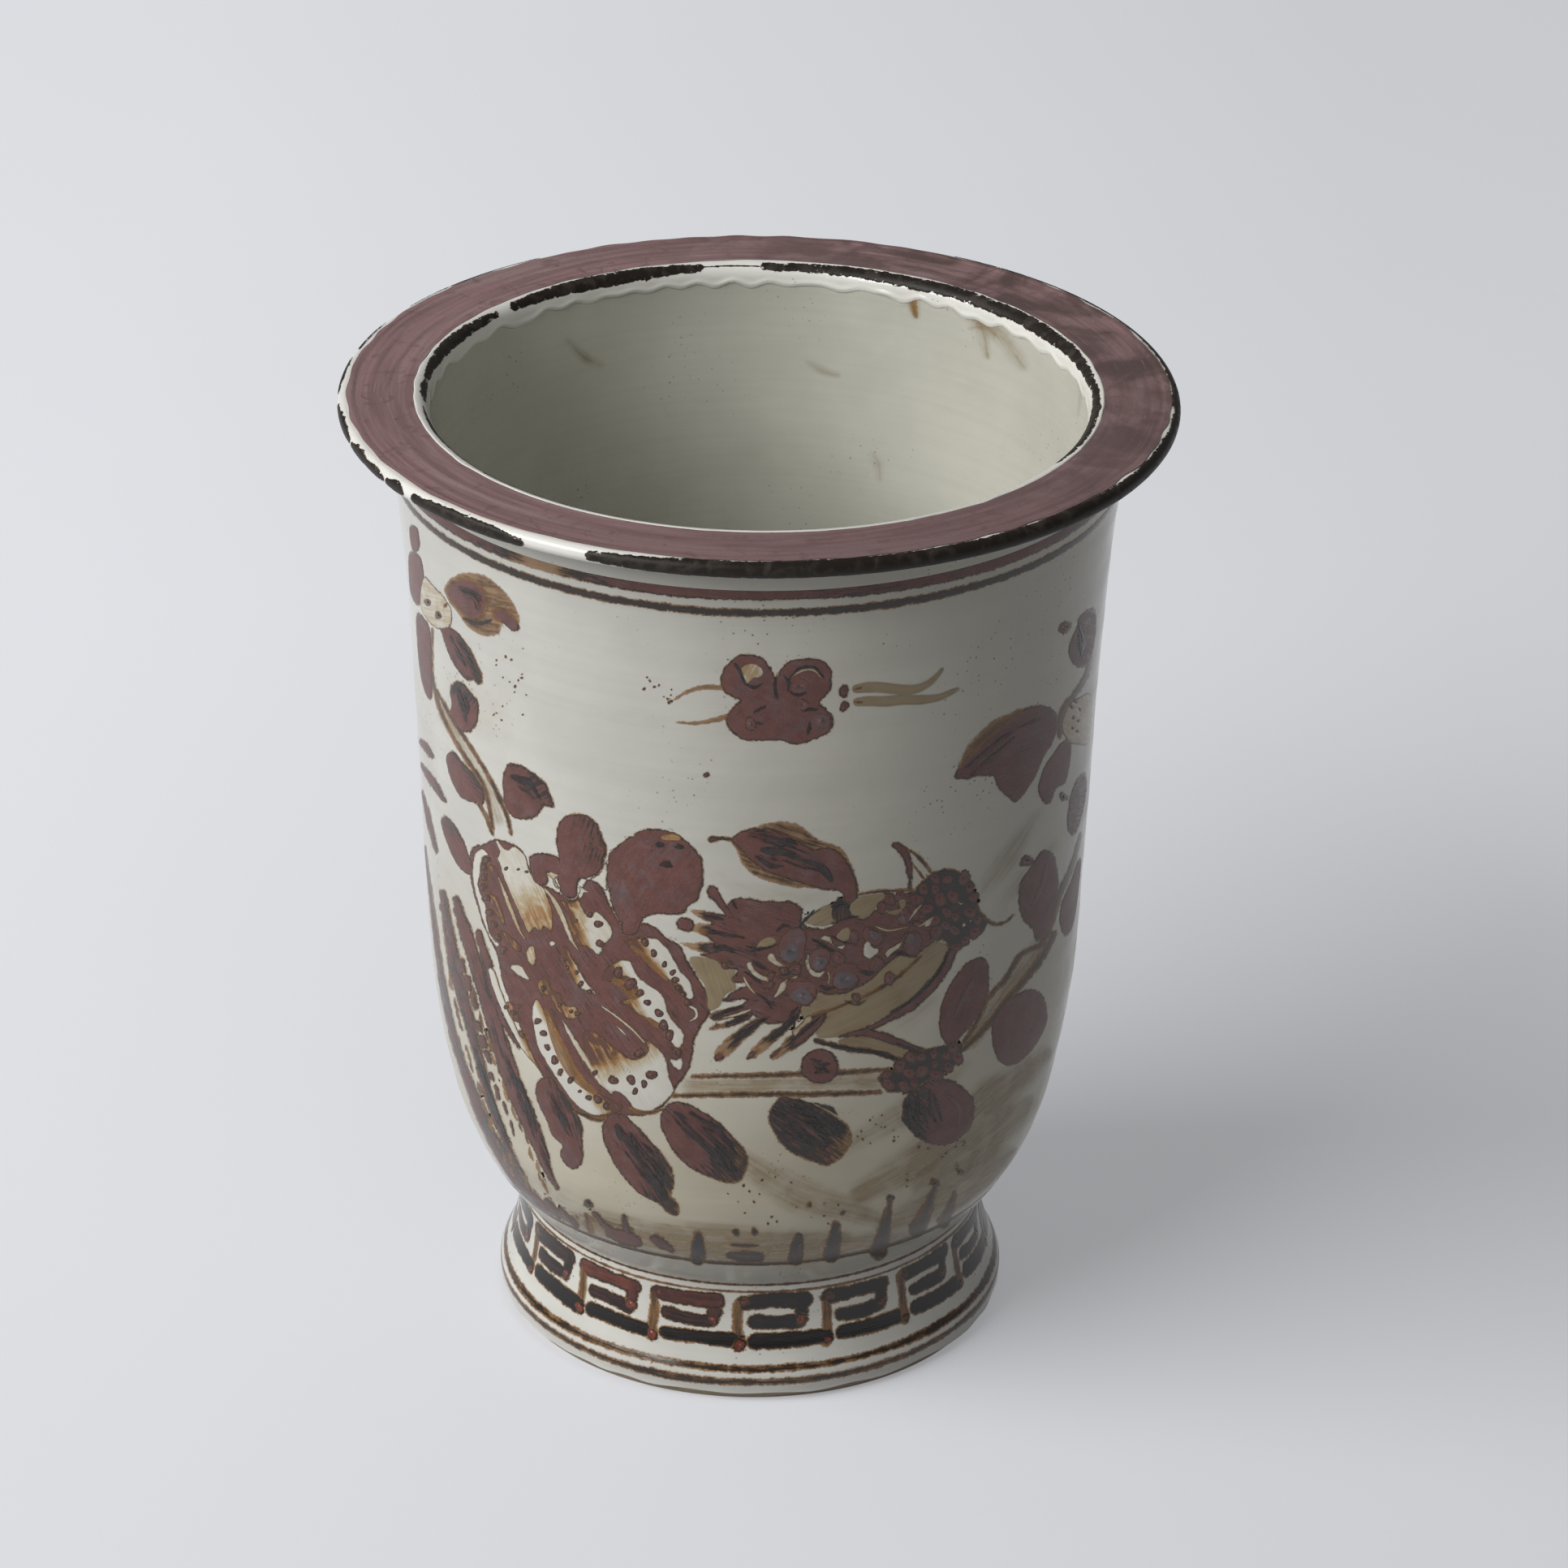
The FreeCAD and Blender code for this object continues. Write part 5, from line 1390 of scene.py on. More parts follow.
        gaps = ((0.2, (944, 1177, 953, 1174, 957, 1182, 963, 1187, 970, 1190, 960, 1191, 950, 1187)),
                (0.2,
                 (921, 1185, 926, 1185, 929, 1193, 936, 1199, 947, 1205, 948, 1209, 938, 1208, 928, 1202,
                  922, 1194)),
                (0.2,
                 (953, 1230, 957, 1220, 964, 1209, 973, 1204, 990, 1200, 980, 1206, 970, 1208, 969, 1217,
                  962, 1225, 957, 1229)),
                (0.15,
                 (994, 1178, 998, 1172, 997, 1184, 1000, 1193, 1006, 1198, 1013, 1197, 1018, 1194,
                  1009, 1205, 1001, 1203, 995, 1196, 992, 1186)),
                (0.15,
                 (1009, 1156, 1018, 1152, 1024, 1155, 1026, 1162, 1036, 1165, 1042, 1163, 1040, 1169,
                  1028, 1167, 1020, 1160)),
                (0.2, (1090, 1176, 1100, 1166, 1112, 1160, 1110, 1166, 1100, 1174, 1093, 1180)),
                (0.1, (1063, 1168, 1068, 1158, 1076, 1166, 1084, 1170, 1078, 1178, 1070, 1182, 1064, 1178)),
                (0.3, (1138, 1142, 1144, 1132, 1151, 1127, 1149, 1134, 1143, 1142)),
                (0.3, (1172, 1102, 1178, 1099, 1181, 1108, 1190, 1112, 1183, 1117, 1176, 1112)),
                (0.2, (1184, 1140, 1188, 1135, 1191, 1140, 1187, 1144)),
                (0.2, (1193, 1133, 1197, 1131, 1198, 1137, 1194, 1137)),
                (0.3, (976, 1272, 986, 1262, 998, 1251, 1001, 1254, 988, 1267, 978, 1277)))
        for stain, outline in gaps:
            pale.blob(outline, stain, tier=4, step=0.8)
        patches = ((4,
                    (1004, 1125, 1014, 1118, 1026, 1116, 1024, 1126, 1026, 1134, 1018, 1139, 1004, 1139,
                     993, 1135)), (4, (933, 1167, 940, 1158, 948, 1155, 956, 1159, 950, 1164, 940, 1166)),
                   (4, (1031, 1155, 1036, 1147, 1044, 1143, 1048, 1150, 1045, 1157, 1036, 1159)),
                   (4,
                    (1047, 1118, 1056, 1107, 1070, 1104, 1092, 1104, 1084, 1110, 1077, 1119, 1070, 1128,
                     1058, 1130, 1050, 1125)),
                   (4,
                    (1088, 1121, 1100, 1123, 1110, 1117, 1107, 1108, 1114, 1108, 1115, 1116, 1108, 1125,
                     1096, 1125)), (-1, (1158, 1152, 1160, 1143, 1167, 1138, 1167, 1146, 1163, 1156)),
                   (4,
                    (852, 1180, 868, 1181, 882, 1184, 892, 1194, 905, 1196, 900, 1207, 906, 1215, 893, 1224,
                     884, 1240, 876, 1244, 872, 1228, 870, 1215, 860, 1200)),
                   (-1,
                    (1161, 1163, 1168, 1166, 1160, 1188, 1141, 1212, 1118, 1234, 1085, 1254, 1052, 1270,
                     1026, 1277, 1008, 1276, 1006, 1262, 990, 1252, 986, 1240, 1002, 1222, 1040, 1218,
                     1074, 1200, 1100, 1180, 1140, 1162)),
                   (-1,
                    (1070, 1276, 1100, 1284, 1130, 1298, 1142, 1303, 1112, 1304, 1082, 1294, 1052, 1289,
                     1034, 1284)))
        for tier, outline in patches:
            tan.blob(outline, load=1.8, dark=0.2, tier=tier, step=0.8)
        slits = (((2, 4, 2), (1078, 1141, 1092, 1146, 1118, 1142)),
                 ((2, 4, 2), (916, 1203, 921, 1213, 931, 1225)),
                 ((2, 4, 2), (1120, 1133, 1128, 1122, 1136, 1114)),
                 ((2, 3, 2), (1020, 1197, 1022, 1205, 1020, 1212)),
                 ((2, 4, 3), (890, 1254, 908, 1250, 924, 1244)),
                 ((2, 4, 2), (1130, 1142, 1140, 1137, 1148, 1128)))
        for widths, path in slits:
            pale.line(path, widths, load=0.3, dark=0.2, tier=4, step=0.8)
        sheet.done("bird", once(brushed_mauve))
        pale.done("bird_gaps", once(petal_white))
        tan.done("bird_tan", once(tan_wash))
        return {"FINISHED"}


class POT_OT_leaves(bpy.types.Operator):
    """Paint the branches and all the leaves round the bloom and the bird."""

    bl_idname = "pot.leaves"
    bl_label = "Paint branches and leaves"

    def execute(self, context):
        sheet, pale, wash = sheets(3)
        stem = ((5,
                 (533, 775, 531, 808, 536, 849, 543, 874, 559, 908, 576, 936, 594, 964, 602, 989, 607, 1020)),
                (5, (538, 849, 551, 874, 569, 902, 587, 931, 605, 961, 617, 987, 625, 1007, 630, 1028)),
                (6, (852, 1326, 900, 1325, 984, 1323, 1040, 1321, 1093, 1317)),
                (6, (829, 1350, 908, 1348, 996, 1348, 1084, 1345)),
                (6,
                 (1187, 1285, 1203, 1258, 1219, 1228, 1237, 1209, 1265, 1172, 1280, 1166, 1298, 1132,
                  1306, 1103, 1321, 1069, 1332, 1028)),
                (7, (1187, 1293, 1215, 1265, 1237, 1237, 1265, 1204, 1285, 1178, 1300, 1150)),
                (6, (1344, 807, 1338, 833, 1326, 853, 1312, 871, 1306, 891, 1306, 908)))
        for width, path in stem:
            sheet.line(path, width * np.array([0.9, 1.3, 1.1, 1.4, 1.0]), load=0.38, dark=0.14, tier=1)
        branch_washes = ((14, (548, 880, 572, 920, 598, 968, 614, 1010)),
                         (18, (850, 1338, 980, 1336, 1088, 1331)),
                         (18, (1196, 1282, 1224, 1244, 1262, 1196, 1290, 1154)))
        for width, path in branch_washes:
            wash.line(path, (width * 1.3,), load=1.7, dark=0.1, tier=0)
        dark = 0.3
        top_leaf = (901, 1034, 915, 1023, 939, 1020, 966, 1026, 988, 1040, 1005, 1046, 1020, 1044,
                    1036, 1052, 1049, 1068, 1056, 1089, 1055, 1109, 1043, 1115, 1037, 1100, 1014, 1096,
                    988, 1089, 952, 1077, 930, 1065, 915, 1050)
        sheet.blob(top_leaf, load=0.95, dark=0.25, tier=2, lean=-0.4)
        top_halo = (901, 1034, 917, 1024, 934, 1018, 961, 1012, 984, 1017, 1002, 1030, 1011, 1036,
                    1031, 1042, 1049, 1065, 1056, 1089, 1055, 1109, 1043, 1115, 1037, 1100, 1008, 1094,
                    984, 1094, 958, 1089, 931, 1080, 917, 1068, 908, 1050)
        top_veins = ((7, 925, 1028, 946, 1030, 963, 1035, 981, 1042),
                     (8, 940, 1047, 967, 1051, 989, 1059, 1014, 1069, 1024, 1084),
                     (6, 932, 1055, 951, 1063, 965, 1066))
        leaf(sheet, top_halo, load=0.3, dark=0.2, fade=None, veins=top_veins, lean=-0.4)
        sheet.line((877, 1034, 889, 1033, 903, 1035), (9, 6, 5), load=0.6, dark=0.1)
        right_leaf = (1159, 1276, 1157, 1254, 1163, 1228, 1176, 1204, 1191, 1187, 1206, 1179, 1217, 1187,
                      1219, 1206, 1215, 1235, 1202, 1256, 1187, 1274, 1170, 1289)
        leaf(sheet, right_leaf, load=0.95, dark=0.22, glow=((12, 1175, 1255, 1190, 1225, 1203, 1200),))
        round_leaf = (1223, 1258, 1235, 1237, 1250, 1226, 1265, 1219, 1285, 1228, 1289, 1262, 1265, 1302,
                      1243, 1313, 1230, 1306, 1222, 1280)
        leaf(sheet, round_leaf, load=1.0, dark=0.14)
        perch_leaf = (986, 1312, 991, 1300, 1003, 1292, 1018, 1293, 1030, 1302, 1033, 1316, 1026, 1330,
                      1010, 1335, 994, 1330)
        leaf(sheet, perch_leaf, load=0.95, dark=0.25,
             veins=((5, 1000, 1306, 1010, 1312, 1020, 1310), (4, 1004, 1322, 1012, 1318, 1022, 1322)),
             tier=2)
        # Leaves: outline, load and streaks, then a fade, veins and glow where there are any.
        left = (((548, 729, 551, 719, 561, 710, 576, 706, 592, 707, 610, 718, 625, 732, 635, 749, 640, 765,
                  635, 776, 628, 774, 620, 767, 615, 780, 602, 784, 587, 780, 574, 770, 564, 755, 555, 744),
                 0.24, 0.14, None, ((4, 566, 724, 584, 730, 596, 744), (4, 572, 762, 588, 768, 606, 764))),
                ((550, 730, 556, 718, 568, 711, 584, 714, 598, 726, 602, 742, 598, 758, 586, 766, 572, 760,
                  560, 746), 0.9, 0.25, None, ((5, 570, 730, 586, 736, 590, 750),)),
                ((606, 754, 614, 748, 626, 752, 636, 762, 640, 774, 632, 778, 620, 768, 610, 764), 0.95, 0.2),
                ((542, 770, 554, 772, 569, 785, 582, 803, 589, 818, 595, 834, 594, 843, 588, 844, 584, 839,
                  576, 839, 566, 829, 556, 813, 547, 790), 0.92, dark, (20, 0.6),
                 ((5, 556, 784, 570, 806, 584, 828),)),
                ((555, 851, 560, 839, 569, 840, 582, 854, 589, 862, 591, 874, 588, 892, 579, 902, 569, 902,
                  559, 892, 555, 880, 557, 867), 0.95, 0.2, (90, 0.6), ((5, 566, 850, 572, 868, 576, 888),)),
                ((550, 936, 559, 925, 571, 938, 587, 956, 597, 976, 596, 992, 584, 989, 568, 982, 556, 961),
                 0.95, 0.2, (60, 0.6)),
                ((620, 974, 621, 951, 630, 939, 645, 943, 658, 952, 673, 964, 679, 979, 684, 994, 671, 994,
                  663, 1005, 645, 1010, 630, 1005, 622, 992), 0.95, 0.25, (50, 0.45),
                 ((6, 632, 956, 648, 966, 664, 984),)),
                ((543, 1010, 551, 1006, 561, 1017, 571, 1035, 584, 1078, 567, 1069, 553, 1044), 0.95, 0.2,
                 (90, 0.5)), ((505, 652, 516, 654, 518, 670, 508, 676), 0.95, 0.15),
                ((504, 684, 520, 690, 523, 720, 515, 746, 506, 730), 0.95, 0.15),
                ((513, 756, 528, 770, 532, 810, 530, 862, 520, 840, 515, 800), 0.9, 0.25))
        right = (((1176, 957, 1180, 948, 1194, 931, 1212, 908, 1235, 891, 1255, 876, 1275, 869, 1292, 871,
                   1303, 882, 1305, 891, 1298, 914, 1286, 934, 1278, 954, 1266, 974, 1252, 988, 1243, 983,
                   1232, 974, 1223, 957, 1203, 957, 1186, 961), 0.95, dark, None,
                  ((3, 1189, 948, 1217, 924, 1246, 900, 1290, 882), (3, 1196, 956, 1222, 934, 1250, 908)),
                  ((9, 1232, 958, 1250, 936, 1268, 908),)),
                 ((1282, 983, 1280, 968, 1289, 942, 1301, 925, 1306, 917, 1321, 919, 1319, 942, 1315, 960,
                   1301, 974, 1295, 988, 1286, 990), 0.95, 0.2),
                 ((1321, 784, 1316, 799, 1319, 813, 1329, 822, 1341, 816, 1348, 793, 1351, 767, 1348, 750,
                   1338, 753, 1329, 762, 1326, 773), 0.85, 0.3, None,
                  ((5, 1330, 770, 1334, 790, 1332, 808),)),
                 ((1316, 997, 1315, 1005, 1318, 1028, 1326, 1026, 1333, 1005, 1338, 983, 1339, 957,
                   1332, 954, 1323, 968, 1318, 983), 0.8, 0.3),
                 ((1255, 1109, 1257, 1086, 1269, 1069, 1283, 1049, 1298, 1054, 1303, 1069, 1305, 1100,
                   1301, 1126, 1289, 1152, 1278, 1160, 1272, 1146, 1260, 1132), 0.95, 0.2, (190, 0.3), (),
                  ((10, 1290, 1062, 1284, 1090, 1270, 1120),)),
                 ((1306, 1132, 1309, 1112, 1321, 1083, 1329, 1060, 1332, 1057, 1329, 1103, 1323, 1138,
                   1315, 1153, 1308, 1146), 0.85, 0.2))
        lower = (((661, 1336, 669, 1327, 681, 1326, 689, 1338, 707, 1363, 719, 1389, 718, 1406, 719, 1426,
                   715, 1436, 707, 1441, 695, 1434, 690, 1422, 693, 1412, 681, 1400, 673, 1379, 662, 1357),
                  0.95, 0.25, (20, 0.55), ((5, 674, 1340, 690, 1370, 704, 1400),)),
                 ((742, 1387, 746, 1377, 754, 1370, 769, 1372, 783, 1385, 803, 1406, 820, 1426, 830, 1446,
                   830, 1463, 828, 1473, 836, 1483, 838, 1493, 832, 1498, 822, 1494, 811, 1483, 791, 1473,
                   775, 1459, 760, 1440, 746, 1412), 0.95, dark, (0, 0.65),
                  ((7, 760, 1388, 780, 1416, 800, 1444, 820, 1474), (5, 778, 1396, 800, 1424, 818, 1446))),
                 ((813, 1379, 818, 1365, 830, 1357, 844, 1358, 864, 1367, 885, 1381, 903, 1400, 918, 1416,
                   922, 1432, 918, 1446, 911, 1457, 901, 1458, 875, 1451, 852, 1440, 836, 1426, 822, 1406),
                  0.95, dark, (-20, 0.68),
                  ((8, 832, 1372, 858, 1396, 884, 1420, 906, 1444), (5, 850, 1370, 880, 1392, 906, 1422))),
                 ((946, 1377, 952, 1360, 963, 1350, 982, 1353, 1007, 1361, 1029, 1375, 1047, 1390,
                   1050, 1402, 1045, 1417, 1036, 1427, 1019, 1437, 1002, 1432, 980, 1423, 962, 1409,
                   951, 1392), 0.62, 0.22, (-15, 0.42),
                  ((16, 960, 1372, 985, 1385, 1015, 1405), (12, 985, 1362, 1015, 1378, 1036, 1395)),
                  ((11, 970, 1372, 1000, 1394, 1024, 1420),)),
                 ((1111, 1367, 1116, 1350, 1129, 1340, 1146, 1330, 1166, 1329, 1186, 1339, 1198, 1352,
                   1201, 1367, 1195, 1390, 1181, 1404, 1159, 1411, 1139, 1407, 1121, 1392, 1114, 1380), 0.95,
                  0.25, (175, 0.5),
                  ((12, 1124, 1352, 1128, 1374, 1136, 1398), (6, 1146, 1344, 1150, 1366, 1160, 1388)),
                  ((12, 1168, 1350, 1182, 1364, 1180, 1388),)))
        below = Paint(wall_skin())
        for target, group in ((sheet, left + right), (below, lower)):
            for row in group:
                leaf(target, *row)
        sheet.line((1182, 946, 1200, 920, 1228, 894, 1258, 876), (4, 14, 14, 6), load=0.22, dark=0.12,
                   tier=4)
        flower_dots = (1321, 871, 3, 1326, 865, 3, 1331, 874, 3, 1323, 884, 3, 1329, 888, 3, 1322, 897, 3,
                       1328, 901, 3, 527, 742, 5, 540, 758, 5, 549, 746, 3)
        beads(sheet, flower_dots, load=0.5, tier=4)
        loose_dots = (1312, 773, 8, 1265, 1061, 8, 1019, 1428, 6, 1311, 982, 5)
        beads(sheet, loose_dots, load=0.8, tier=2)
        left_flower = (525, 711, 536, 724, 548, 737, 556, 752, 555, 770, 543, 775, 528, 765, 520, 752)
        pale.blob(left_flower, load=0.2, tier=2)
        right_flower = (1309, 891, 1315, 873, 1332, 859, 1344, 856, 1346, 885, 1344, 905, 1329, 917,
                        1315, 911)
        pale.blob(right_flower, load=0.32, tier=2)
        side_strokes = ((515, 910, 524, 920, 533, 933), (519, 943, 532, 962, 548, 987),
                        (520, 977, 528, 1010, 538, 1050))
        for path in side_strokes:
            sheet.line(path, (9, 11, 5), load=0.98, dark=0.16)
        sheet.line((590, 990, 600, 1008, 607, 1028), (5, 6, 5), load=0.44, dark=0.2)
        wash.done("branch_wash", once(thin_wash))
        sheet.done("leaves", once(brushed_mauve))
        below.done("lower_leaves", once(brushed_mauve))
        pale.done("pale_flowers", once(petal_white))
        return {"FINISHED"}


class POT_OT_feathers(bpy.types.Operator):
    """Paint the long feathers that hang beside the bloom."""

    bl_idname = "pot.feathers"
    bl_label = "Paint the feathers"

    def execute(self, context):
        sheet = Paint(wall_skin())
        quill = (562, 1108, 574, 1150, 588, 1195, 600, 1235, 613, 1275, 622, 1305, 634, 1340, 651, 1380,
                 667, 1420, 677, 1447, 687, 1465)
        inner = (546, 1100, 553, 1150, 560, 1190, 570, 1230, 580, 1265, 589, 1300, 598, 1335, 609, 1370,
                 621, 1402, 634, 1430, 647, 1453)
        outer = (524, 1045, 530, 1100, 537, 1160, 544, 1210, 553, 1255, 567, 1305, 581, 1345, 599, 1390,
                 621, 1432, 646, 1467, 672, 1488, 704, 1502)
        sheet.line(quill, (10, 18, 17, 17, 19, 23, 24, 24, 22, 14, 5), load=0.92, dark=0.32, tier=1)
        sheet.line((590, 1150, 600, 1185, 608, 1225, 622, 1262, 640, 1290), (10, 14, 9, 10, 5), load=0.92,
                   dark=0.3, tier=1)
        sheet.line(inner, (9, 14, 17, 17, 15, 14, 13, 13, 12, 9, 4), load=0.9, dark=0.4, tier=1)
        sheet.line(outer, (8, 11, 12, 12, 14, 13, 12, 15, 17, 17, 14, 8), load=0.85, dark=0.35, tier=1)
        sheet.vein((620, 1292, 638, 1336, 655, 1378, 668, 1415, 682, 1452), (5, 13, 14, 13, 6), dark=0.95,
                   tier=4)
        sheet.vein((585, 1290, 596, 1325, 610, 1368, 630, 1420), (4, 8, 9, 5), dark=0.95, tier=4)
        barbs = ((548, 1124, 8, 14), (556, 1154, 7, 12), (570, 1191, 8, 12), (577, 1212, 8, 14),
                 (584, 1234, 8, 14), (590, 1265, 8, 8), (596, 1284, 8, 11), (602, 1302, 7, 12),
                 (606, 1327, 5, 8), (613, 1346, 5, 16), (623, 1366, 4, 14), (631, 1390, 3, 18))
        for x, y, wide, long in barbs:
            sheet.line((x - 2, y - long / 2, x + 2, y + long / 2), (wide * 1.25, wide), load=0.85, dark=0.15,
                       tier=4)
        dice = np.random.default_rng(9)
        for path, shift, count, far in ((quill, -14, 17, 1.0), (inner, -12, 11, 0.96), (outer, 12, 7, 0.8)):
            knots = np.reshape(path, (-1, 2)).astype(float)
            for share in np.linspace(0.26, far, count) + dice.uniform(-0.01, 0.01, count):
                x, y = (np.interp(share, np.linspace(0, 1, len(knots)), knots[:, k]) for k in (0, 1))
                long, x = dice.uniform(9, 20), x + shift * dice.uniform(0.8, 1.1)
                sheet.line((x - 1, y - long / 2, x, y, x + long * 0.22, y + long / 2), (2, 4.5, 2),
                           load=dice.uniform(0.14, 0.4), dark=0.12, tier=3)
        sheet.done("feathers", once(brushed_mauve))
        return {"FINISHED"}


class POT_OT_grass(bpy.types.Operator):
    """Sweep on the thin wash and paint the tufts of grass above the foot."""

    bl_idname = "pot.grass"
    bl_label = "Paint grass and wash"

    def execute(self, context):
        sheet, wash = sheets(2)
        tufts = ((0.8, (8, 9, 6), (674, 1479, 681, 1489, 689, 1500)),
                 (0.7, (7, 9, 8), (691, 1489, 700, 1500, 710, 1510)),
                 (0.45, (6, 9, 10), (722, 1496, 725, 1505, 728, 1516)),
                 (0.8, (7, 9, 10), (732, 1495, 742, 1506, 754, 1516)),
                 (0.7, (7, 10, 12), (769, 1498, 771, 1510, 772, 1524)),
                 (0.9, (14, 20, 16), (752, 1518, 768, 1524, 784, 1530)),
                 (0.8, (12, 16, 8), (806, 1526, 816, 1532, 828, 1540)),
                 (0.6, (13, 18, 20), (860, 1522, 860, 1536, 860, 1550)),
                 (0.58, (9, 17, 14), (898, 1546, 916, 1548, 936, 1549)),
                 (0.5, (4, 6, 4), (900, 1533, 918, 1534, 934, 1534)),
                 (0.6, (12, 19, 21), (984, 1524, 982, 1536, 980, 1550)),
                 (0.58, (12, 19, 22), (1030, 1510, 1028, 1528, 1024, 1546)),
                 (0.52, (6, 15, 23), (1096, 1477, 1090, 1512, 1083, 1543)),
                 (0.46, (6, 15, 22), (1152, 1460, 1142, 1490, 1130, 1515)),
                 (0.44, (6, 12, 16), (1176, 1470, 1170, 1490, 1163, 1506)))
        for load, widths, path in tufts:
            sheet.line(path, widths, load=load, dark=0.25, tier=2)
        tuft_dots = (725, 1483, 6, 907, 1518, 5, 930, 1517, 5, 997, 1484, 4, 1038, 1494, 4, 1096, 1475, 5,
                     1152, 1458, 5, 1182, 1443, 5)
        beads(sheet, tuft_dots, load=0.55, tier=2)
        specks = ((21, 14, (610, 1480, 660, 1486, 668, 1520, 622, 1516)),
                  (22, 14, (1050, 1372, 1110, 1372, 1108, 1410, 1056, 1412)),
                  (23, 10, (790, 830, 842, 834, 838, 872, 792, 870)),
                  (24, 18, (600, 790, 660, 800, 650, 900, 606, 890)),
                  (25, 22, (880, 1440, 1080, 1450, 1060, 1515, 900, 1510)),
                  (26, 14, (1120, 1410, 1220, 1390, 1180, 1460, 1110, 1480)))
        for seed, count, outline in specks:
            scatter(sheet, outline, count=count, seed=seed, low=1.0, high=2.0, load=0.5, tier=1, spread=2.5)
        sweeps = ((1.7, 40, (1290, 1300, 1230, 1350, 1150, 1420, 1060, 1470)),
                  (1.7, 36, (1270, 1360, 1210, 1410, 1130, 1460)),
                  (0.8, 30, (1190, 1310, 1130, 1360, 1030, 1420)),
                  (1.9, 36, (1250, 1420, 1180, 1470, 1090, 1510)),
                  (2.2, 30, (700, 1500, 800, 1520, 920, 1532, 1040, 1526)),
                  (2.4, 26, (720, 1512, 850, 1538, 980, 1542, 1120, 1524)),
                  (0.6, 24, (1280, 1000, 1240, 1060, 1200, 1110)),
                  (0.5, 20, (1300, 1040, 1262, 1080, 1220, 1140)),
                  (1.3, 36, (900, 1420, 980, 1470, 1080, 1500)),
                  (0.5, 26, (640, 1440, 700, 1480, 780, 1504)),
                  (0.5, 24, (1060, 1275, 1110, 1262, 1150, 1230)),
                  (0.35, 30, (880, 1080, 950, 1110, 1010, 1104)))
        for load, width, path in sweeps:
            wash.line(path, width * np.array([0.7, 1.5, 1.6, 0.8]), load=load * 0.72, dark=0.2, tier=0,
                      step=2.0)
        wash.done("wash", once(thin_wash))
        sheet.done("grass", once(brushed_mauve))
        return {"FINISHED"}


class POT_OT_enamel(bpy.types.Operator):
    """Dab the black enamel along lip and mouth."""

    bl_idname = "pot.enamel"
    bl_label = "Enamel the lip and mouth"

    def execute(self, context):
        enamel = once(dark_enamel)
        lip, mouth = Paint(lip_skin(), look=None, unit=1.0), Paint(mouth_skin(), look=None, unit=1.0)
        lip.skin.sunk = mouth.skin.sunk = 0.24
        edge, height = lip.skin.rows[:, 0].max(), lip.skin.rows[:, 1].mean()
        stroke_on(lip, turn_at((728, 686, 1100, 690), edge, height), widths=(4.4, 8.0, 8.6, 8.4), at=5.9)
        stroke_on(lip, turn_at((1090, 690, 1452, 500), edge, height), widths=(8.4, 8.4, 7.8, 6.6), at=5.9)
        stroke_on(lip, turn_at((1452, 505, 1180, 318), edge, height), widths=(5.4, 3.6, 2.6, 1.4), at=7.6)
        lip_strokes = (((430, 500), (443, 534), 4.4, 5.8), ((441, 542), (458, 561), 4.8, 5.4),
                       ((462, 557), (481, 573), 4.4, 5.2), ((487, 578), (504, 590), 5.4, 4.9),
                       ((519, 598), (642, 651), 7.4, 4.6), ((424, 440), (428, 486), 3.8, 6.4),
                       ((500, 379), (664, 315), 1.3, 8.0), ((433, 430), (470, 396), 1.6, 7.6))
        for start, stop, width, at in lip_strokes:
            stroke_on(lip, turn_at((*start, *stop), edge, height),
                      (width * 0.6, width, width * 1.1, width * 0.5), at)
        lip.done("lip_enamel", enamel, slot="white_glaze", repeat=False)
        bore, height = mouth.skin.rows[:, 0].min(), mouth.skin.rows[:, 1].mean()
        mouth_strokes = (((518, 467), (611, 385), 4.8, 5.2), ((632, 373), (861, 329), 5.8, 5.2),
                         ((942, 322), (1347, 482), 5.4, 5.0), ((1347, 482), (1294, 575), 4.4, 4.6),
                         ((515, 470), (527, 500), 3.2, 5.6), ((526, 510), (570, 564), 1.6, 4.6),
                         ((570, 564), (780, 636), 1.2, 4.0), ((864, 324), (940, 323), 0.7, 5.0))
        for start, stop, width, at in mouth_strokes:
            stroke_on(mouth, turn_at((*start, *stop), bore, height),
                      (width * 0.6, width, width * 1.05, width * 0.6), at)
        mouth.done("mouth_enamel", enamel, slot="white_glaze", repeat=False)
        return {"FINISHED"}


def stroke_on(sheet, ends, widths, at):
    """A stroke round part of a bead, from one turn on to another the short way, at one length along
    its section."""
    start, stop = ends
    stop = start + (stop - start + math.pi) % TURN - math.pi
    turn = np.linspace(start, stop, max(4, int(abs(stop - start) / 0.06)))
    path = np.stack([turn * sheet.skin.girth, at + 0.3 * wavy(turn, len(turn), 24, 3)], -1)
    sheet.line(path, widths, load=1.0, dark=0.2, tier=3, step=1.0)


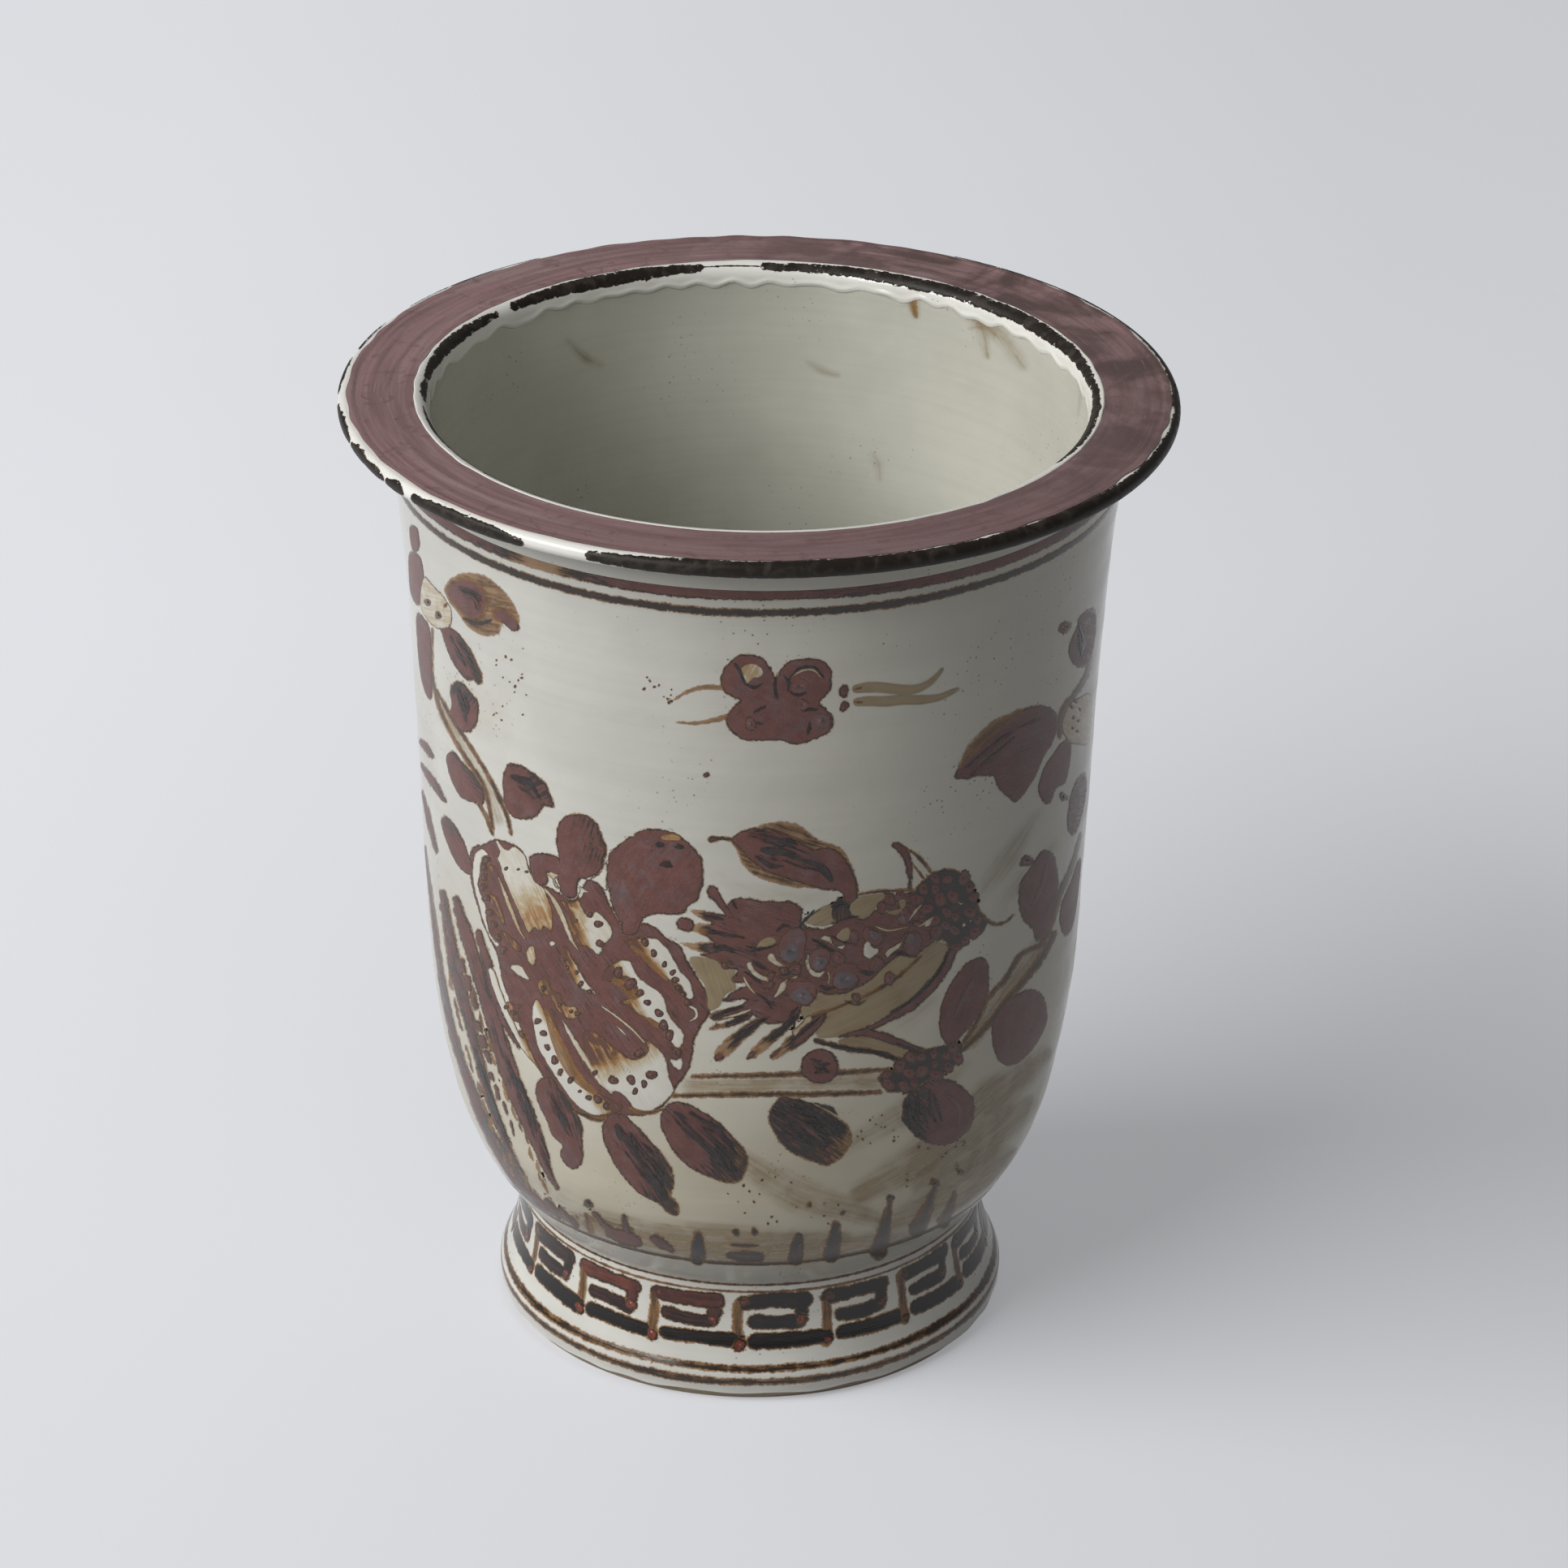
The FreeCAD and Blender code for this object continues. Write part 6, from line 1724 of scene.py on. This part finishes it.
class POT_OT_stage(bpy.types.Operator):
    """Set the pale floor, the soft light from the left, the dim room and the camera."""

    bl_idname = "pot.stage"
    bl_label = "Set the stage"

    def execute(self, context):
        scene = context.scene
        scene.view_settings.view_transform = "Standard"
        half_floor, rows = 7.0, 9
        side = np.linspace(-half_floor, half_floor, rows)
        spot = np.stack(np.meshgrid(side, side), -1).reshape(-1, 2)
        faces = quads((rows, rows)).reshape(-1, 4)
        mesh = bpy.data.meshes.new("floor")
        mesh.from_pydata(np.c_[spot, np.zeros(len(spot))].tolist(), [], faces.tolist())
        mesh.materials.append(floor_finish())
        floor = bpy.data.objects.new("floor", mesh)
        scene.collection.objects.link(floor)
        lamp = bpy.data.lights.new("window", "AREA")
        lamp.shape = "RECTANGLE"
        lamp.size = 6.0
        lamp.size_y = 3.6
        lamp.energy = 500.0
        key = bpy.data.objects.new("window", lamp)
        turn, height = math.radians(-61), math.radians(38)
        away = Vector((math.sin(turn) * math.cos(height), -math.cos(turn) * math.cos(height),
                       math.sin(height)))
        key.location = away * 6.5
        key.rotation_euler = away.to_track_quat("Z", "Y").to_euler()
        scene.collection.objects.link(key)
        room = bpy.data.worlds.new("room")
        room.use_nodes = True
        nodes, links = room.node_tree.nodes, room.node_tree.links
        path = nodes.new("ShaderNodeLightPath").outputs["Is Camera Ray"]
        blend = nodes.new("ShaderNodeMix")
        blend.data_type = "RGBA"
        blend.inputs[6].default_value = (0.195, 0.195, 0.195, 1)
        blend.inputs[7].default_value = (0.70, 0.715, 0.75, 1)
        links.new(path, blend.inputs[0])
        links.new(blend.outputs[2], nodes["Background"].inputs["Color"])
        scene.world = room
        view = bpy.data.cameras.new("view")
        view.sensor_width = 36.0
        view.lens = FOCUS / SHEET * view.sensor_width
        view.clip_end = 60.0
        camera = bpy.data.objects.new("view", view)
        columns = Matrix((RIGHT, UP, BACK)).transposed().to_4x4()
        camera.matrix_world = Matrix.Translation(Vector(EYE * METRE)) @ columns
        scene.collection.objects.link(camera)
        scene.camera = camera
        return {"FINISHED"}


STEPS = (POT_OT_clay, POT_OT_coats, POT_OT_rim, POT_OT_rings, POT_OT_fret, POT_OT_grass, POT_OT_butterfly,
         POT_OT_bloom, POT_OT_bird, POT_OT_leaves, POT_OT_feathers, POT_OT_enamel, POT_OT_stage)


class POT_PT_steps(bpy.types.Panel):
    """Lists the steps and the sizes and colours they use."""

    bl_idname = "POT_PT_steps"
    bl_label = "Flowerpot"
    bl_space_type = "VIEW_3D"
    bl_region_type = "UI"
    bl_category = "Flowerpot"

    def draw(self, context):
        column = self.layout.column()
        for step in STEPS:
            column.operator(step.bl_idname)
        for group in (context.scene.pot_sizes, context.scene.pot_colours):
            for word in group.bl_rna.properties.keys():
                if word not in ("rna_type", "name"):
                    column.prop(group, word)


CLASSES = (PotSizes, PotColours, *STEPS, POT_PT_steps)


def register():
    """Make the classes known and hang their settings on the scene."""
    for kind in CLASSES:
        bpy.utils.register_class(kind)
    bpy.types.Scene.pot_sizes = PointerProperty(type=PotSizes)
    bpy.types.Scene.pot_colours = PointerProperty(type=PotColours)


def unregister():
    """Take the settings and the classes away."""
    del bpy.types.Scene.pot_colours
    del bpy.types.Scene.pot_sizes
    for kind in reversed(CLASSES):
        bpy.utils.unregister_class(kind)


def main():
    """Run every step in order."""
    register()
    for step in STEPS:
        group, name = step.bl_idname.split(".")
        getattr(getattr(bpy.ops, group), name)()


if __name__ == "__main__":
    main()
